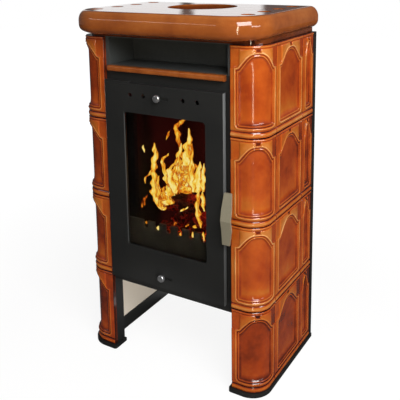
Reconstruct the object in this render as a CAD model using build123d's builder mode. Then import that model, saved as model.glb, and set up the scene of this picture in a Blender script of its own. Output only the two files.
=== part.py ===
from build123d import *
import math
import os

os.makedirs("parts", exist_ok=True)

# ---------------------------------------------------------------------------
# Driving dimensions, in millimetres.
# X runs across the stove, Y from the front (-) to the back (+), Z up.
# The origin is on the floor, under the middle of the whole stove.
# ---------------------------------------------------------------------------

# Tiled side walls
wall_inner_x = 187.0          # centre line to the inner face of a tiled wall
wall_width = 86.0             # tiled wall seen from the front
row_pitch = 220.0             # one course of tiles with its joint
row_count = 4
joint_width = 2.0             # gap between neighbouring tiles
corner_radius = 52.4          # rounded front corner of a wall
corner_return = 81.4          # face to the first upright joint, along the side
full_tile_pitch = 163.1
half_tile_pitch = 72.1
tile_depth = 41.0             # glazed face to the back of the tile's rim
tile_skin = 12.0              # ceramic behind the glazed face
tile_rim = 10.0               # wall of the rim round a tile's back
front_leg = 13.0              # thickness of the corner tile's front leg
tile_edge_round = 2.0

# Relief of a tile: a raised frame, a ledge and a sunk panel with an ogee arch
frame_width = 13.0            # tile edge to the ledge
ledge_width = 7.0             # ledge between the frame and the panel
ledge_sink = 3.0
panel_sink = 7.5
arch_top = 20.0               # tile's course line to the top of the arch
arch_shoulder = 58.0          # tile's course line to the foot of the arch
arch_step = 6.0               # the panel's arch below the ledge's arch
arch_fullness = 1.35          # above 1, the arch is rounder at its top
panel_corner_round = 9.0
key_notch_top = 8.0           # notch between the two corner leaves
key_notch_foot = 17.0
key_notch_margin = 11.0

# Plinth
plinth_height = 10.0
plinth_proud = 2.0            # plinth beyond the tiles
plinth_front_proud = 4.5
foot_inset = 7.0              # front foot inside the wall's inner face
foot_depth = 46.0

# Top slab
slab_thickness = 59.0
slab_side_overhang = 4.0
slab_front_overhang = 47.0
slab_corner_radius = 98.0
slab_back_radius = 10.0
slab_top_round = 19.0
slab_bottom_round = 32.0
slab_skin = 16.0
neck_height = 9.0
neck_set_in = 12.0            # neck inside the tiles' face
neck_wall = 20.0
hole_radius = 94.0            # large round hole over the flue
collar_wall = 10.0
collar_drop = 32.0            # collar below the slab's underside skin
vent_radius = 17.0
vent_x = 222.0
vent_pitch = 86.0
vent_count = 4
vent_first = 74.0             # slab's front edge to the first vent

# Steel side frames
steel = 3.0
post_size = 34.0
post_front_gap = 0.5
rear_strip = 13.1             # steel strip seen behind the last tiles
slab_back_overhang = 8.3
rail_height = 30.0
liner_thickness = 8.0

# Front plate, niche and firebox
plate_sink = 13.0             # tiles' face to the front plate
body_bottom = 210.0
shelf_level = 816.0           # floor of the warming niche
niche_depth = 105.0
niche_side_gap = 12.0
niche_sheet = 2.0
shelf_edge_height = 15.0
shelf_edge_proud = 3.0
shelf_edge_round = 5.0
opening_half_width = 148.0
opening_bottom = 252.0
opening_top = 754.0
shell_sheet = 4.0
shell_back_gap = 29.7         # firebox to the back of the walls
shell_top = 800.0
plate_flange = 30.0

# Fire chamber
hearth_level = 304.0
hearth_set_back = 13.0        # front plate to the hearth plate
brick_thickness = 30.0
brick_chamfer = 6.0
brick_top = 700.0
brick_front = 40.0            # tiles' face to the side bricks
baffle_thickness = 8.0
baffle_front = 110.0
grate_thickness = 8.0
grate_length = 200.0
grate_width = 170.0
grate_bearing = 10.0          # grate's edge resting on the hearth plate
grate_slot = 9.0
grate_slot_count = 9
guard_thickness = 6.0
guard_height = 88.0
guard_notch_pitch = 36.0
guard_notch_width = 15.0
guard_notch_depth = 23.0
guard_notch_count = 6
guard_gap = 0.5
guard_end_gap = 3.0
guard_foot_width = 25.0
log_radius = 27.0
log_end_gap = 5.0             # log's end inside the grate's end
log_spacing = 70.0
log_splay = 5.0               # degrees off square
upper_log_radius = 22.0
upper_log_length = 150.0
pan_width = 220.0
pan_length = 200.0
pan_height = 55.0
pan_wall = 2.0
pan_front = 45.0
pan_lip_width = 55.0
pan_lip_reach = 14.0

# Flue
flue_y = 197.0                # tiles' face to the flue's axis
flue_bore_radius = 69.5
flue_wall = 3.0
flue_socket_radius = 74.5     # fits inside a 150 mm flue pipe
flue_socket_length = 45.0
flue_flange_radius = 84.0
flue_top_drop = 28.0          # slab's top to the spigot's mouth

# Rear panel
rear_panel_thickness = 2.0
rear_panel_bottom = 30.0
rear_panel_margin = 14.0
louvre_length = 150.0
louvre_height = 8.0
louvre_pitch = 22.0
louvre_count = 5

# Door
door_proud = 4.5              # door's face in front of the tiles
door_half_width = 172.0
door_hinge_lip = 9.0          # door's sheet beyond its return on the hinge side
door_bottom = 232.0
door_top = 774.0
door_sheet = 4.0
door_depth = 16.5
door_return = 3.0
door_corner_round = 1.2
window_half_width = 122.0
window_bottom = 334.0
window_top = 698.0
window_corner = 9.0
glass_thickness = 4.0
glass_lap = 9.0
retainer_width = 18.0
retainer_thickness = 2.0
rope_radius = 6.5
rope_inset = 9.6              # door's edge to the rope's centre line
rope_corner = 20.0
rope_gap = 0.1
rope_rib = 3.0
rope_rib_gap = 0.3

# Air slides, one above and one below the window
slide_hole_radius = 6.0
slide_hole_pitch = 41.0
slide_hole_count = 2          # on each side of the knob
slide_hole_first = 59.0
upper_slide_z = 744.0
lower_slide_z = 263.0
slide_height = 20.0
slide_half_length = 116.0
lower_slide_half_length = 60.0
slide_thickness = 2.0
slide_gap = 0.3
slide_travel = 26.0
slide_slot_height = 8.6
guide_thickness = 3.0
guide_lap = 3.0
knob_radius = 10.0
knob_length = 13.0
knob_foot = 4.0
knob_foot_radius = 6.0
knob_stem_radius = 4.0
knob_round = 4.0

# Door hinge, with a pin at the top and the bottom of the door
hinge_x = 175.0
hinge_set_back = 5.0          # door's face to the hinge's axis
hinge_pin_radius = 3.0
running_gap = 0.05
hinge_boss_radius = 5.0
hinge_boss_height = 20.0
hinge_plate = 4.0
hinge_plate_length = 74.0
hinge_plate_end = 7.0         # hinge's axis to the plate's outer end

# Door handle and latch
latch_x = 179.0
latch_set_back = 4.0
latch_height = 468.0
latch_pin_radius = 3.0
latch_tube_radius = 6.0
latch_tube_height = 62.0
lug_thickness = 4.0
handle_top = 535.0
handle_bottom = 402.0
handle_end_proud = 15.0
handle_mid_proud = 29.0
handle_thickness = 5.0
handle_mid_x = 188.5
handle_foot_x = 182.5
handle_mid_width = 27.0
handle_end_width = 20.0
handle_flat = 25.0            # middle to the ends of the widest part
hook_thickness = 7.0
hook_height = 14.0
hook_reach = 40.5
hook_claw = 7.0
hook_pad_proud = 4.0
hook_slot_gap = 4.0           # hook to the ends of its slot
striker_x = 162.5
striker_set_back = 29.0
striker_radius = 4.0
striker_height = 34.0
striker_edge_gap = 2.0        # striker to the edge of the hook's slot
latch_plate_edge = 14.0       # steel above and below the hook's slot

# Fasteners
screw_radius = 3.0
screw_hole_radius = 3.4
screw_head_radius = 6.0
screw_head_height = 4.0
plate_screw_low = 260.0
plate_screw_high = 740.0
latch_screw_spread = 70.0     # latch to the screws above and below it
rear_screw_heights = (80.0, 340.0, 600.0, 840.0)
retainer_screw_radius = 2.0
retainer_screw_head = 4.0

# ---------------------------------------------------------------------------
# Places worked out from the driving dimensions
# ---------------------------------------------------------------------------
wall_outer_x = wall_inner_x + wall_width
slab_half_width = wall_outer_x + slab_side_overhang
side_length = corner_return + full_tile_pitch + half_tile_pitch
stove_depth = slab_front_overhang + side_length + rear_strip + slab_back_overhang

slab_front = -stove_depth / 2
face_y = slab_front + slab_front_overhang
corner_joint_y = face_y + corner_return
full_joint_y = corner_joint_y + full_tile_pitch
tiles_back_y = full_joint_y + half_tile_pitch
frame_back_y = tiles_back_y + rear_strip

tile_height = row_pitch - joint_width
wall_top = plinth_height + row_count * row_pitch
slab_bottom = wall_top + neck_height
slab_top = slab_bottom + slab_thickness
tile_back_x = wall_outer_x - tile_depth

post_inner_x = wall_inner_x + 1.0
post_outer_x = post_inner_x + post_size
post_front_y = face_y + front_leg + post_front_gap
post_back_y = post_front_y + post_size
liner_inner_x = tile_back_x - liner_thickness
rail_inner_x = liner_inner_x - steel
frame_rear_y = frame_back_y - steel

plate_front_y = face_y + plate_sink
plate_back_y = plate_front_y + steel
shell_back_y = frame_back_y - shell_back_gap
shell_half_width = opening_half_width + shell_sheet
brick_inner_x = opening_half_width - brick_thickness
chamber_back_y = shell_back_y - shell_sheet
brick_front_y = face_y + brick_front
flue_axis_y = face_y + flue_y

door_front_y = face_y - door_proud
sheet_back_y = door_front_y + door_sheet
door_back_y = door_front_y + door_depth
slide_front_y = sheet_back_y + slide_gap
slide_back_y = slide_front_y + slide_thickness
slide_rest_x = -slide_travel / 2
hinge_y = door_front_y + hinge_set_back
latch_y = face_y + latch_set_back
log_length = grate_length - 2 * log_end_gap
plate_screw_heights = (
    plate_screw_low,
    latch_height - latch_screw_spread,
    latch_height + latch_screw_spread,
    plate_screw_high,
)


def block(x, y, z, mode=Mode.ADD):
    """A box between two x, two y and two z values."""
    centre = ((x[0] + x[1]) / 2, (y[0] + y[1]) / 2, (z[0] + z[1]) / 2)
    with Locations(centre):
        Box(x[1] - x[0], y[1] - y[0], z[1] - z[0], mode=mode)


def rod(centre, radius, length, axis="Z", mode=Mode.ADD):
    """A round bar whose middle is at centre, along X, Y or Z."""
    turn = {"X": (0, 90, 0), "Y": (90, 0, 0), "Z": (0, 0, 0)}[axis]
    with Locations(Location(centre, turn)):
        Cylinder(radius, length, mode=mode)


def save(part, name):
    """Label a finished piece and write it to its own file."""
    part.label = name
    export_step(part, f"parts/{name}.step")


def save_pair(right_part, name):
    """Write a right-hand piece and its mirror image on the left."""
    left_part = mirror(right_part, about=Plane.YZ)
    save(right_part, f"{name}_right")
    save(left_part, f"{name}_left")


# ---------------------------------------------------------------------------
# Tiles
# ---------------------------------------------------------------------------
def arch_line(half_width, shoulder, top, steps=6):
    """Points of a bell-shaped ogee arch, from its left foot to its right foot."""
    points = []
    for i in range(-steps, steps + 1):
        u = half_width * i / steps
        share = abs(i) / steps
        rise = (1 + math.cos(math.pi * share**arch_fullness)) / 2
        points.append((u, shoulder + (top - shoulder) * rise))
    return points


def panel_sizes(pitch, step):
    """Half width, foot, shoulder and arch top of the ledge (0) or the panel (1)."""
    half_width = (pitch - joint_width) / 2 - frame_width - step * ledge_width
    foot = -tile_height / 2 + frame_width + step * ledge_width
    course_line = row_pitch / 2
    shoulder = course_line - arch_shoulder - step * arch_step
    top = course_line - arch_top - step * arch_step
    return half_width, foot, shoulder, top


def flat_panel(plane, pitch, step):
    """The ledge's or the panel's outline on a flat tile's face."""
    half_width, foot, shoulder, top = panel_sizes(pitch, step)
    arch = arch_line(half_width, shoulder, top)
    with BuildSketch(plane) as outline:
        with BuildLine():
            Polyline(arch[-1], (half_width, foot), (-half_width, foot), arch[0])
            Spline(arch, tangents=((1, 0), (1, 0)))
        make_face()
        corners = outline.vertices().sort_by(Axis.Z)[:2]
        fillet(corners, panel_corner_round)
    return outline.sketch


def key_notch(plane):
    """The small notch above the arch, between the two corner leaves."""
    high = tile_height / 2 - key_notch_margin
    low = row_pitch / 2 - arch_top - arch_step / 2
    with BuildSketch(plane) as outline:
        with BuildLine():
            Polyline(
                (-key_notch_top / 2, high),
                (key_notch_top / 2, high),
                (key_notch_foot / 2, low),
                (-key_notch_foot / 2, low),
                close=True,
            )
        make_face()
    return outline.sketch


def flat_tile(front_joint_y, pitch):
    """A flat tile of the right wall's lowest course, hollow behind."""
    y = (front_joint_y + joint_width / 2, front_joint_y + pitch - joint_width / 2)
    z = (plinth_height, plinth_height + tile_height)
    centre = (wall_outer_x, (y[0] + y[1]) / 2, (z[0] + z[1]) / 2)
    face = Plane(origin=centre, x_dir=(0, 1, 0), z_dir=(1, 0, 0))
    with BuildPart() as tile:
        block((tile_back_x, wall_outer_x), y, z)
        fillet(tile.faces().sort_by(Axis.X)[-1].edges(), tile_edge_round)
        block(
            (tile_back_x, wall_outer_x - tile_skin),
            (y[0] + tile_rim, y[1] - tile_rim),
            (z[0] + tile_rim, z[1] - tile_rim),
            mode=Mode.SUBTRACT,
        )
        extrude(flat_panel(face, pitch, 0), amount=-ledge_sink, mode=Mode.SUBTRACT)
        extrude(flat_panel(face, pitch, 1), amount=-panel_sink, mode=Mode.SUBTRACT)
        extrude(key_notch(face), amount=-ledge_sink, mode=Mode.SUBTRACT)
    return tile.part


# The corner tile bends round the wall's front corner. Its relief is set out on
# the unrolled face and cut square to the 45 degree plane.
front_flat = wall_width - corner_radius
arc_length = corner_radius * math.pi / 2
side_flat = corner_return - joint_width / 2 - corner_radius
corner_face_length = front_flat + arc_length + side_flat
corner_z = (plinth_height, plinth_height + tile_height)
diagonal_plane = Plane(
    origin=(wall_outer_x, face_y, (corner_z[0] + corner_z[1]) / 2),
    x_dir=(1, 1, 0),
    z_dir=(1, -1, 0),
)


def diagonal_place(s):
    """A distance along the unrolled corner face, seen on the 45 degree plane."""
    if s < front_flat:
        x = wall_inner_x + s
        y = face_y
    elif s < front_flat + arc_length:
        turn = (s - front_flat) / corner_radius
        x = wall_outer_x - corner_radius * (1 - math.sin(turn))
        y = face_y + corner_radius * (1 - math.cos(turn))
    else:
        x = wall_outer_x
        y = face_y + corner_radius + (s - front_flat - arc_length)
    return ((x - wall_outer_x) + (y - face_y)) / math.sqrt(2)


def corner_plan(inset):
    """The corner tile's plan, set in from its face by inset."""
    x = (wall_inner_x, wall_outer_x - inset)
    y = (face_y + inset, corner_joint_y - joint_width / 2)
    with BuildSketch(Plane.XY.offset(corner_z[0])) as plan:
        with Locations(((x[0] + x[1]) / 2, (y[0] + y[1]) / 2)):
            Rectangle(x[1] - x[0], y[1] - y[0])
        outer = plan.vertices().group_by(Axis.X)[-1].sort_by(Axis.Y)[0]
        fillet(outer, corner_radius - inset)
    return plan.sketch


def corner_panel(step, sink):
    """The solid taken out of the corner tile for its ledge or its panel."""
    pitch = corner_face_length + joint_width
    middle = corner_face_length / 2
    half_width, foot, shoulder, top = panel_sizes(pitch, step)
    arch = []
    for u, v in arch_line(half_width, shoulder, top):
        arch.append((diagonal_place(middle + u), v))
    with BuildSketch(diagonal_plane) as outline:
        with BuildLine():
            Polyline(arch[-1], (arch[-1][0], foot), (arch[0][0], foot), arch[0])
            Spline(arch, tangents=((1, 0), (1, 0)))
        make_face()
        corners = outline.vertices().sort_by(Axis.Z)[:2]
        fillet(corners, panel_corner_round)
    with BuildPart() as cutter:
        extrude(corner_plan(-1.0), amount=tile_height)
        extrude(corner_plan(sink), amount=tile_height, mode=Mode.SUBTRACT)
        extrude(outline.sketch, amount=corner_return, both=True, mode=Mode.INTERSECT)
    return cutter.part


def corner_notch():
    """The solid taken out of the corner tile for its key notch."""
    middle = diagonal_place(corner_face_length / 2)
    with BuildPart() as cutter:
        extrude(corner_plan(-1.0), amount=tile_height)
        extrude(corner_plan(ledge_sink), amount=tile_height, mode=Mode.SUBTRACT)
        extrude(
            key_notch(diagonal_plane.move(Location(diagonal_plane.x_dir * middle))),
            amount=corner_return,
            both=True,
            mode=Mode.INTERSECT,
        )
    return cutter.part


def corner_tile():
    """The right wall's lowest corner tile."""
    y_end = corner_joint_y - joint_width / 2
    ledge = corner_panel(0, ledge_sink)
    panel = corner_panel(1, panel_sink)
    notch = corner_notch()
    with BuildPart() as tile:
        extrude(corner_plan(0.0), amount=tile_height)
        block(
            (wall_inner_x, tile_back_x),
            (face_y + front_leg, y_end),
            corner_z,
            mode=Mode.SUBTRACT,
        )
        block(
            (tile_back_x, wall_outer_x - tile_skin),
            (face_y + front_leg + tile_rim, y_end - tile_rim),
            (corner_z[0] + tile_rim, corner_z[1] - tile_rim),
            mode=Mode.SUBTRACT,
        )
        add(ledge, mode=Mode.SUBTRACT)
        add(panel, mode=Mode.SUBTRACT)
        add(notch, mode=Mode.SUBTRACT)
    return tile.part


tile_shapes = {
    "corner": corner_tile(),
    "full": flat_tile(corner_joint_y, full_tile_pitch),
    "half": flat_tile(full_joint_y, half_tile_pitch),
}
for row in range(row_count):
    for shape_name, shape in tile_shapes.items():
        lifted = shape.moved(Location((0, 0, row * row_pitch + joint_width / 2)))
        save_pair(lifted, f"tile_row{row + 1}_{shape_name}")

# ---------------------------------------------------------------------------
# Plinths: a foot under the front corner and a strip under the side tiles
# ---------------------------------------------------------------------------
plinth_outer_x = wall_outer_x + plinth_proud
plinth_front_y = face_y - plinth_front_proud
with BuildPart() as plinth:
    foot_x = (wall_inner_x - foot_inset, plinth_outer_x)
    foot_y = (plinth_front_y, face_y + foot_depth)
    with BuildSketch() as plinth_outline:
        with BuildLine():
            Polyline(
                (foot_x[0], foot_y[0]),
                (foot_x[1], foot_y[0]),
                (foot_x[1], frame_back_y),
                (rail_inner_x, frame_back_y),
                (rail_inner_x, foot_y[1]),
                (foot_x[0], foot_y[1]),
                close=True,
            )
        make_face()
        front_corners = plinth_outline.vertices().group_by(Axis.Y)[0].sort_by(Axis.X)
        fillet(front_corners[0], foot_inset)
        outer_corner = plinth_outline.vertices().group_by(Axis.X)[-1].sort_by(Axis.Y)[0]
        fillet(outer_corner, corner_radius + plinth_proud)
    extrude(amount=plinth_height)
save_pair(plinth.part, "plinth")

# ---------------------------------------------------------------------------
# Steel side frames and the liner boards behind the tiles
# ---------------------------------------------------------------------------
rail_levels = [plinth_height]
for row in range(2, row_count):
    rail_levels.append(plinth_height + row * row_pitch - rail_height / 2)
rail_levels.append(wall_top - rail_height)
frame_z = (plinth_height, wall_top)
with BuildPart() as side_frame:
    # front post, a channel that is open towards the tiles
    block((post_inner_x, post_outer_x), (post_front_y, post_back_y), frame_z)
    block(
        (post_inner_x + steel, post_outer_x),
        (post_front_y + steel, post_back_y - steel),
        frame_z,
        mode=Mode.SUBTRACT,
    )
    # rear post, an angle that closes the back of the wall
    block((rail_inner_x, wall_outer_x), (frame_rear_y, frame_back_y), frame_z)
    block((wall_outer_x - steel, wall_outer_x), (tiles_back_y, frame_back_y), frame_z)
    block((rail_inner_x, liner_inner_x), (tiles_back_y - rail_height, frame_back_y), frame_z)
    # rails from post to post
    for level in rail_levels:
        block(
            (rail_inner_x, liner_inner_x),
            (post_back_y - steel, frame_back_y),
            (level, level + rail_height),
        )
    # screw holes for the front plate's flange
    for height in plate_screw_heights:
        rod(
            (post_inner_x, plate_back_y + plate_flange / 2, height),
            screw_hole_radius,
            4 * steel,
            axis="X",
            mode=Mode.SUBTRACT,
        )
    # screw holes for the rear panel
    for height in rear_screw_heights:
        rod(
            (wall_outer_x - 2 * rear_panel_margin, frame_back_y, height),
            screw_hole_radius,
            4 * steel,
            axis="Y",
            mode=Mode.SUBTRACT,
        )
save_pair(side_frame.part, "side_frame")

with BuildPart() as liner_board:
    block(
        (liner_inner_x, tile_back_x),
        (post_back_y + steel, tiles_back_y - steel),
        (plinth_height, wall_top),
    )
save_pair(liner_board.part, "liner_board")

# ---------------------------------------------------------------------------
# Top slab: glazed, hollow below, with a large hole and two rows of vents
# ---------------------------------------------------------------------------
neck_half_width = wall_outer_x - neck_set_in
neck_front = face_y + neck_set_in
cavity_half_width = neck_half_width - neck_wall
cavity_y = (neck_front + neck_wall, frame_back_y - neck_wall)
cavity_top = slab_top - slab_skin
with BuildPart() as top_slab:
    with BuildSketch(Plane.XY.offset(slab_bottom)) as slab_outline:
        Rectangle(2 * slab_half_width, stove_depth)
        fillet(slab_outline.vertices().group_by(Axis.Y)[0], slab_corner_radius)
        fillet(slab_outline.vertices().group_by(Axis.Y)[-1], slab_back_radius)
    extrude(amount=slab_thickness)
    rim_top = top_slab.faces().sort_by(Axis.Z)[-1].edges()
    fillet(rim_top.sort_by(Axis.Y)[:-1], slab_top_round)
    rim_bottom = top_slab.faces().sort_by(Axis.Z)[0].edges()
    fillet(rim_bottom.sort_by(Axis.Y)[:-3], slab_bottom_round)
    # neck that stands on the walls
    with BuildSketch(Plane.XY.offset(wall_top)) as neck_outline:
        with Locations((0, (neck_front + frame_back_y) / 2)):
            Rectangle(2 * neck_half_width, frame_back_y - neck_front)
        fillet(neck_outline.vertices().group_by(Axis.Y)[0], corner_radius)
    extrude(amount=neck_height + slab_bottom_round)
    # cavity open to the walls and the space round the firebox
    with BuildSketch(Plane.XY.offset(wall_top)) as cavity_outline:
        with Locations((0, (cavity_y[0] + cavity_y[1]) / 2)):
            Rectangle(2 * cavity_half_width, cavity_y[1] - cavity_y[0])
        fillet(cavity_outline.vertices(), corner_radius - neck_wall)
    extrude(amount=cavity_top - wall_top, mode=Mode.SUBTRACT)
    # collar and hole over the flue
    rod((0, flue_axis_y, cavity_top - collar_drop / 2), hole_radius + collar_wall, collar_drop)
    rod((0, flue_axis_y, slab_top), hole_radius, 4 * slab_thickness, mode=Mode.SUBTRACT)
    # warm air vents
    for side in (-1, 1):
        for i in range(vent_count):
            vent_y = slab_front + vent_first + i * vent_pitch
            rod(
                (side * vent_x, vent_y, slab_top),
                vent_radius,
                4 * slab_skin,
                mode=Mode.SUBTRACT,
            )
save(top_slab.part, "top_slab")

# ---------------------------------------------------------------------------
# Front plate with the door opening, and the niche above it
# ---------------------------------------------------------------------------
plate_z = (body_bottom, shelf_level - niche_sheet)
hook_slot_half = hook_height + hook_slot_gap
latch_plate_half = hook_slot_half + latch_plate_edge
latch_plate_z = (latch_height - latch_plate_half, latch_height + latch_plate_half)
with BuildPart() as front_plate:
    block((-post_inner_x, post_inner_x), (plate_front_y, plate_back_y), plate_z)
    for side in (-1, 1):
        flange_x = sorted((side * post_inner_x, side * (post_inner_x - steel)))
        block(flange_x, (plate_back_y, plate_back_y + plate_flange), plate_z)
        for height in plate_screw_heights:
            rod(
                (side * post_inner_x, plate_back_y + plate_flange / 2, height),
                screw_hole_radius,
                4 * steel,
                axis="X",
                mode=Mode.SUBTRACT,
            )
    block(
        (-opening_half_width, opening_half_width),
        (plate_front_y, plate_back_y),
        (opening_bottom, opening_top),
        mode=Mode.SUBTRACT,
    )
    # gap in the right stile for the latch's striker plate
    block(
        (opening_half_width, post_inner_x),
        (plate_front_y, plate_back_y + plate_flange),
        latch_plate_z,
        mode=Mode.SUBTRACT,
    )
save(front_plate.part, "front_plate")

niche_half_width = post_inner_x - niche_side_gap
niche_back_y = plate_front_y + niche_depth
with BuildPart() as niche_casing:
    block(
        (-niche_half_width - niche_sheet, niche_half_width + niche_sheet),
        (plate_front_y, niche_back_y + niche_sheet),
        (shelf_level - niche_sheet, wall_top),
    )
    block(
        (-niche_half_width, niche_half_width),
        (plate_front_y, niche_back_y),
        (shelf_level, wall_top - niche_sheet),
        mode=Mode.SUBTRACT,
    )
    # cheeks that close the gap to the posts
    for side in (-1, 1):
        cheek_x = sorted((side * (niche_half_width + niche_sheet), side * post_inner_x))
        block(
            cheek_x,
            (plate_front_y, plate_front_y + niche_sheet),
            (shelf_level - niche_sheet, wall_top),
        )
save(niche_casing.part, "niche_casing")

shelf_edge_z = (shelf_level - shelf_edge_height, shelf_level)
with BuildPart() as shelf_edge:
    block(
        (-door_half_width, door_half_width),
        (face_y - shelf_edge_proud, plate_front_y),
        shelf_edge_z,
    )
    front_long = shelf_edge.faces().sort_by(Axis.Y)[0].edges().filter_by(Axis.X)
    fillet(front_long, shelf_edge_round)
save(shelf_edge.part, "shelf_edge")

# ---------------------------------------------------------------------------
# Firebox
# ---------------------------------------------------------------------------
with BuildPart() as firebox_shell:
    block(
        (-shell_half_width, shell_half_width),
        (plate_back_y, shell_back_y),
        (body_bottom, shell_top),
    )
    block(
        (-opening_half_width, opening_half_width),
        (plate_back_y, chamber_back_y),
        (body_bottom + shell_sheet, shell_top - shell_sheet),
        mode=Mode.SUBTRACT,
    )
    # hearth plate that carries the grate, the bricks and the log guard
    block(
        (-opening_half_width, opening_half_width),
        (plate_back_y + hearth_set_back, chamber_back_y),
        (hearth_level - shell_sheet, hearth_level),
    )
    grate_y = (brick_front_y + guard_foot_width + chamber_back_y - brick_thickness) / 2
    grate_opening_x = grate_length / 2 - grate_bearing
    grate_opening_y = grate_width / 2 - grate_bearing
    block(
        (-grate_opening_x, grate_opening_x),
        (grate_y - grate_opening_y, grate_y + grate_opening_y),
        (hearth_level - shell_sheet, hearth_level),
        mode=Mode.SUBTRACT,
    )
    rod((0, flue_axis_y, shell_top), flue_bore_radius, 4 * shell_sheet, mode=Mode.SUBTRACT)
save(firebox_shell.part, "firebox_shell")

spigot_top = slab_top - flue_top_drop
spigot_length = spigot_top - shell_top
with BuildPart() as flue_spigot:
    rod((0, flue_axis_y, shell_top + flue_wall / 2), flue_flange_radius, flue_wall)
    tube_middle = (0, flue_axis_y, shell_top + spigot_length / 2)
    rod(tube_middle, flue_bore_radius + flue_wall, spigot_length)
    socket_middle = (0, flue_axis_y, spigot_top - flue_socket_length / 2)
    rod(socket_middle, flue_socket_radius, flue_socket_length)
    rod(tube_middle, flue_bore_radius, spigot_length, mode=Mode.SUBTRACT)
save(flue_spigot.part, "flue_spigot")

with BuildPart() as side_brick:
    block(
        (brick_inner_x, opening_half_width),
        (brick_front_y, chamber_back_y),
        (hearth_level, brick_top),
    )
    inner_corner = side_brick.edges().filter_by(Axis.Z).group_by(Axis.X)[0].sort_by(Axis.Y)[0]
    chamfer(inner_corner, brick_chamfer)
save_pair(side_brick.part, "firebrick")

with BuildPart() as back_brick:
    block(
        (-brick_inner_x, brick_inner_x),
        (chamber_back_y - brick_thickness, chamber_back_y),
        (hearth_level, brick_top),
    )
save(back_brick.part, "firebrick_back")

with BuildPart() as baffle_plate:
    block(
        (-opening_half_width, opening_half_width),
        (face_y + baffle_front, chamber_back_y),
        (brick_top, brick_top + baffle_thickness),
    )
save(baffle_plate.part, "baffle_plate")

with BuildPart() as grate:
    grate_z = (hearth_level, hearth_level + grate_thickness)
    block(
        (-grate_length / 2, grate_length / 2),
        (grate_y - grate_width / 2, grate_y + grate_width / 2),
        grate_z,
    )
    slot_pitch = grate_length / (grate_slot_count + 1)
    with BuildSketch(Plane.XY.offset(grate_z[0])):
        with Locations((0, grate_y)):
            with GridLocations(slot_pitch, 1, grate_slot_count, 1):
                SlotOverall(grate_width - brick_thickness, grate_slot, rotation=90)
    extrude(amount=grate_thickness, mode=Mode.SUBTRACT)
save(grate.part, "grate")

with BuildPart() as log_guard:
    guard_y = (brick_front_y - guard_thickness - guard_gap, brick_front_y - guard_gap)
    guard_half_width = opening_half_width - guard_end_gap
    guard_foot_x = brick_inner_x - guard_gap
    block(
        (-guard_half_width, guard_half_width),
        guard_y,
        (hearth_level, hearth_level + guard_height),
    )
    with BuildSketch(Plane.XZ.offset(-guard_y[1])):
        with Locations((0, hearth_level + guard_height)):
            with GridLocations(guard_notch_pitch, 1, guard_notch_count, 1):
                SlotOverall(2 * guard_notch_depth, guard_notch_width, rotation=90)
    extrude(amount=guard_thickness, mode=Mode.SUBTRACT)
    # feet that stand the guard on the hearth plate
    for side in (-1, 1):
        foot_x = sorted((side * guard_foot_x, side * (guard_foot_x - guard_foot_width)))
        foot_back_y = brick_front_y + guard_foot_width
        block(foot_x, (guard_y[1], foot_back_y), (hearth_level, hearth_level + guard_thickness))
save(log_guard.part, "log_guard")

with BuildPart() as ash_pan:
    pan_y = (face_y + pan_front, face_y + pan_front + pan_length)
    pan_z = (body_bottom + shell_sheet, body_bottom + shell_sheet + pan_height)
    block((-pan_width / 2, pan_width / 2), pan_y, pan_z)
    block(
        (-pan_width / 2 + pan_wall, pan_width / 2 - pan_wall),
        (pan_y[0] + pan_wall, pan_y[1] - pan_wall),
        (pan_z[0] + pan_wall, pan_z[1]),
        mode=Mode.SUBTRACT,
    )
    # lip to pull the pan out by
    block(
        (-pan_lip_width / 2, pan_lip_width / 2),
        (pan_y[0] - pan_lip_reach, pan_y[0]),
        (pan_z[1] - pan_wall, pan_z[1]),
    )
save(ash_pan.part, "ash_pan")

# ---------------------------------------------------------------------------
# Firewood: split logs laid across each other on the grate
# ---------------------------------------------------------------------------
log_level = hearth_level + grate_thickness
flat_share = math.cos(math.pi / 6)
lower_log_z = log_level + log_radius * flat_share
upper_log_z = log_level + (2 * log_radius + upper_log_radius) * flat_share
with BuildPart() as firewood:
    for side, turn in ((-1, log_splay), (1, -log_splay)):
        along = Vector(1, 0, 0).rotate(Axis.Z, turn)
        place = Plane((0, grate_y + side * log_spacing / 2, lower_log_z), x_dir=(0, 0, 1), z_dir=along)
        with BuildSketch(place.offset(-log_length / 2)):
            RegularPolygon(log_radius, 6, rotation=30)
        extrude(amount=log_length)
    for side, turn in ((-1, 90 - log_splay), (1, 90 + log_splay)):
        along = Vector(1, 0, 0).rotate(Axis.Z, turn)
        place = Plane((side * log_spacing / 2, grate_y, upper_log_z), x_dir=(0, 0, 1), z_dir=along)
        with BuildSketch(place.offset(-upper_log_length / 2)):
            RegularPolygon(upper_log_radius, 6, rotation=30)
        extrude(amount=upper_log_length)
save(firewood.part, "firewood")

# ---------------------------------------------------------------------------
# Rear panel
# ---------------------------------------------------------------------------
with BuildPart() as rear_panel:
    rear_half_width = wall_outer_x - rear_panel_margin
    rear_y = (frame_back_y, frame_back_y + rear_panel_thickness)
    block((-rear_half_width, rear_half_width), rear_y, (rear_panel_bottom, wall_top))
    for level in (rear_panel_bottom + 3 * louvre_pitch, shell_top - 2 * louvre_pitch):
        for side in (-1, 1):
            with BuildSketch(Plane.XZ.offset(-rear_y[1])):
                with Locations((side * rear_half_width / 2, level)):
                    with GridLocations(1, louvre_pitch, 1, louvre_count):
                        SlotOverall(louvre_length, louvre_height)
            extrude(amount=rear_panel_thickness, mode=Mode.SUBTRACT)
    for side in (-1, 1):
        for height in rear_screw_heights:
            rod(
                (side * (wall_outer_x - 2 * rear_panel_margin), rear_y[0], height),
                screw_hole_radius,
                4 * steel,
                axis="Y",
                mode=Mode.SUBTRACT,
            )
save(rear_panel.part, "rear_panel")

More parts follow.
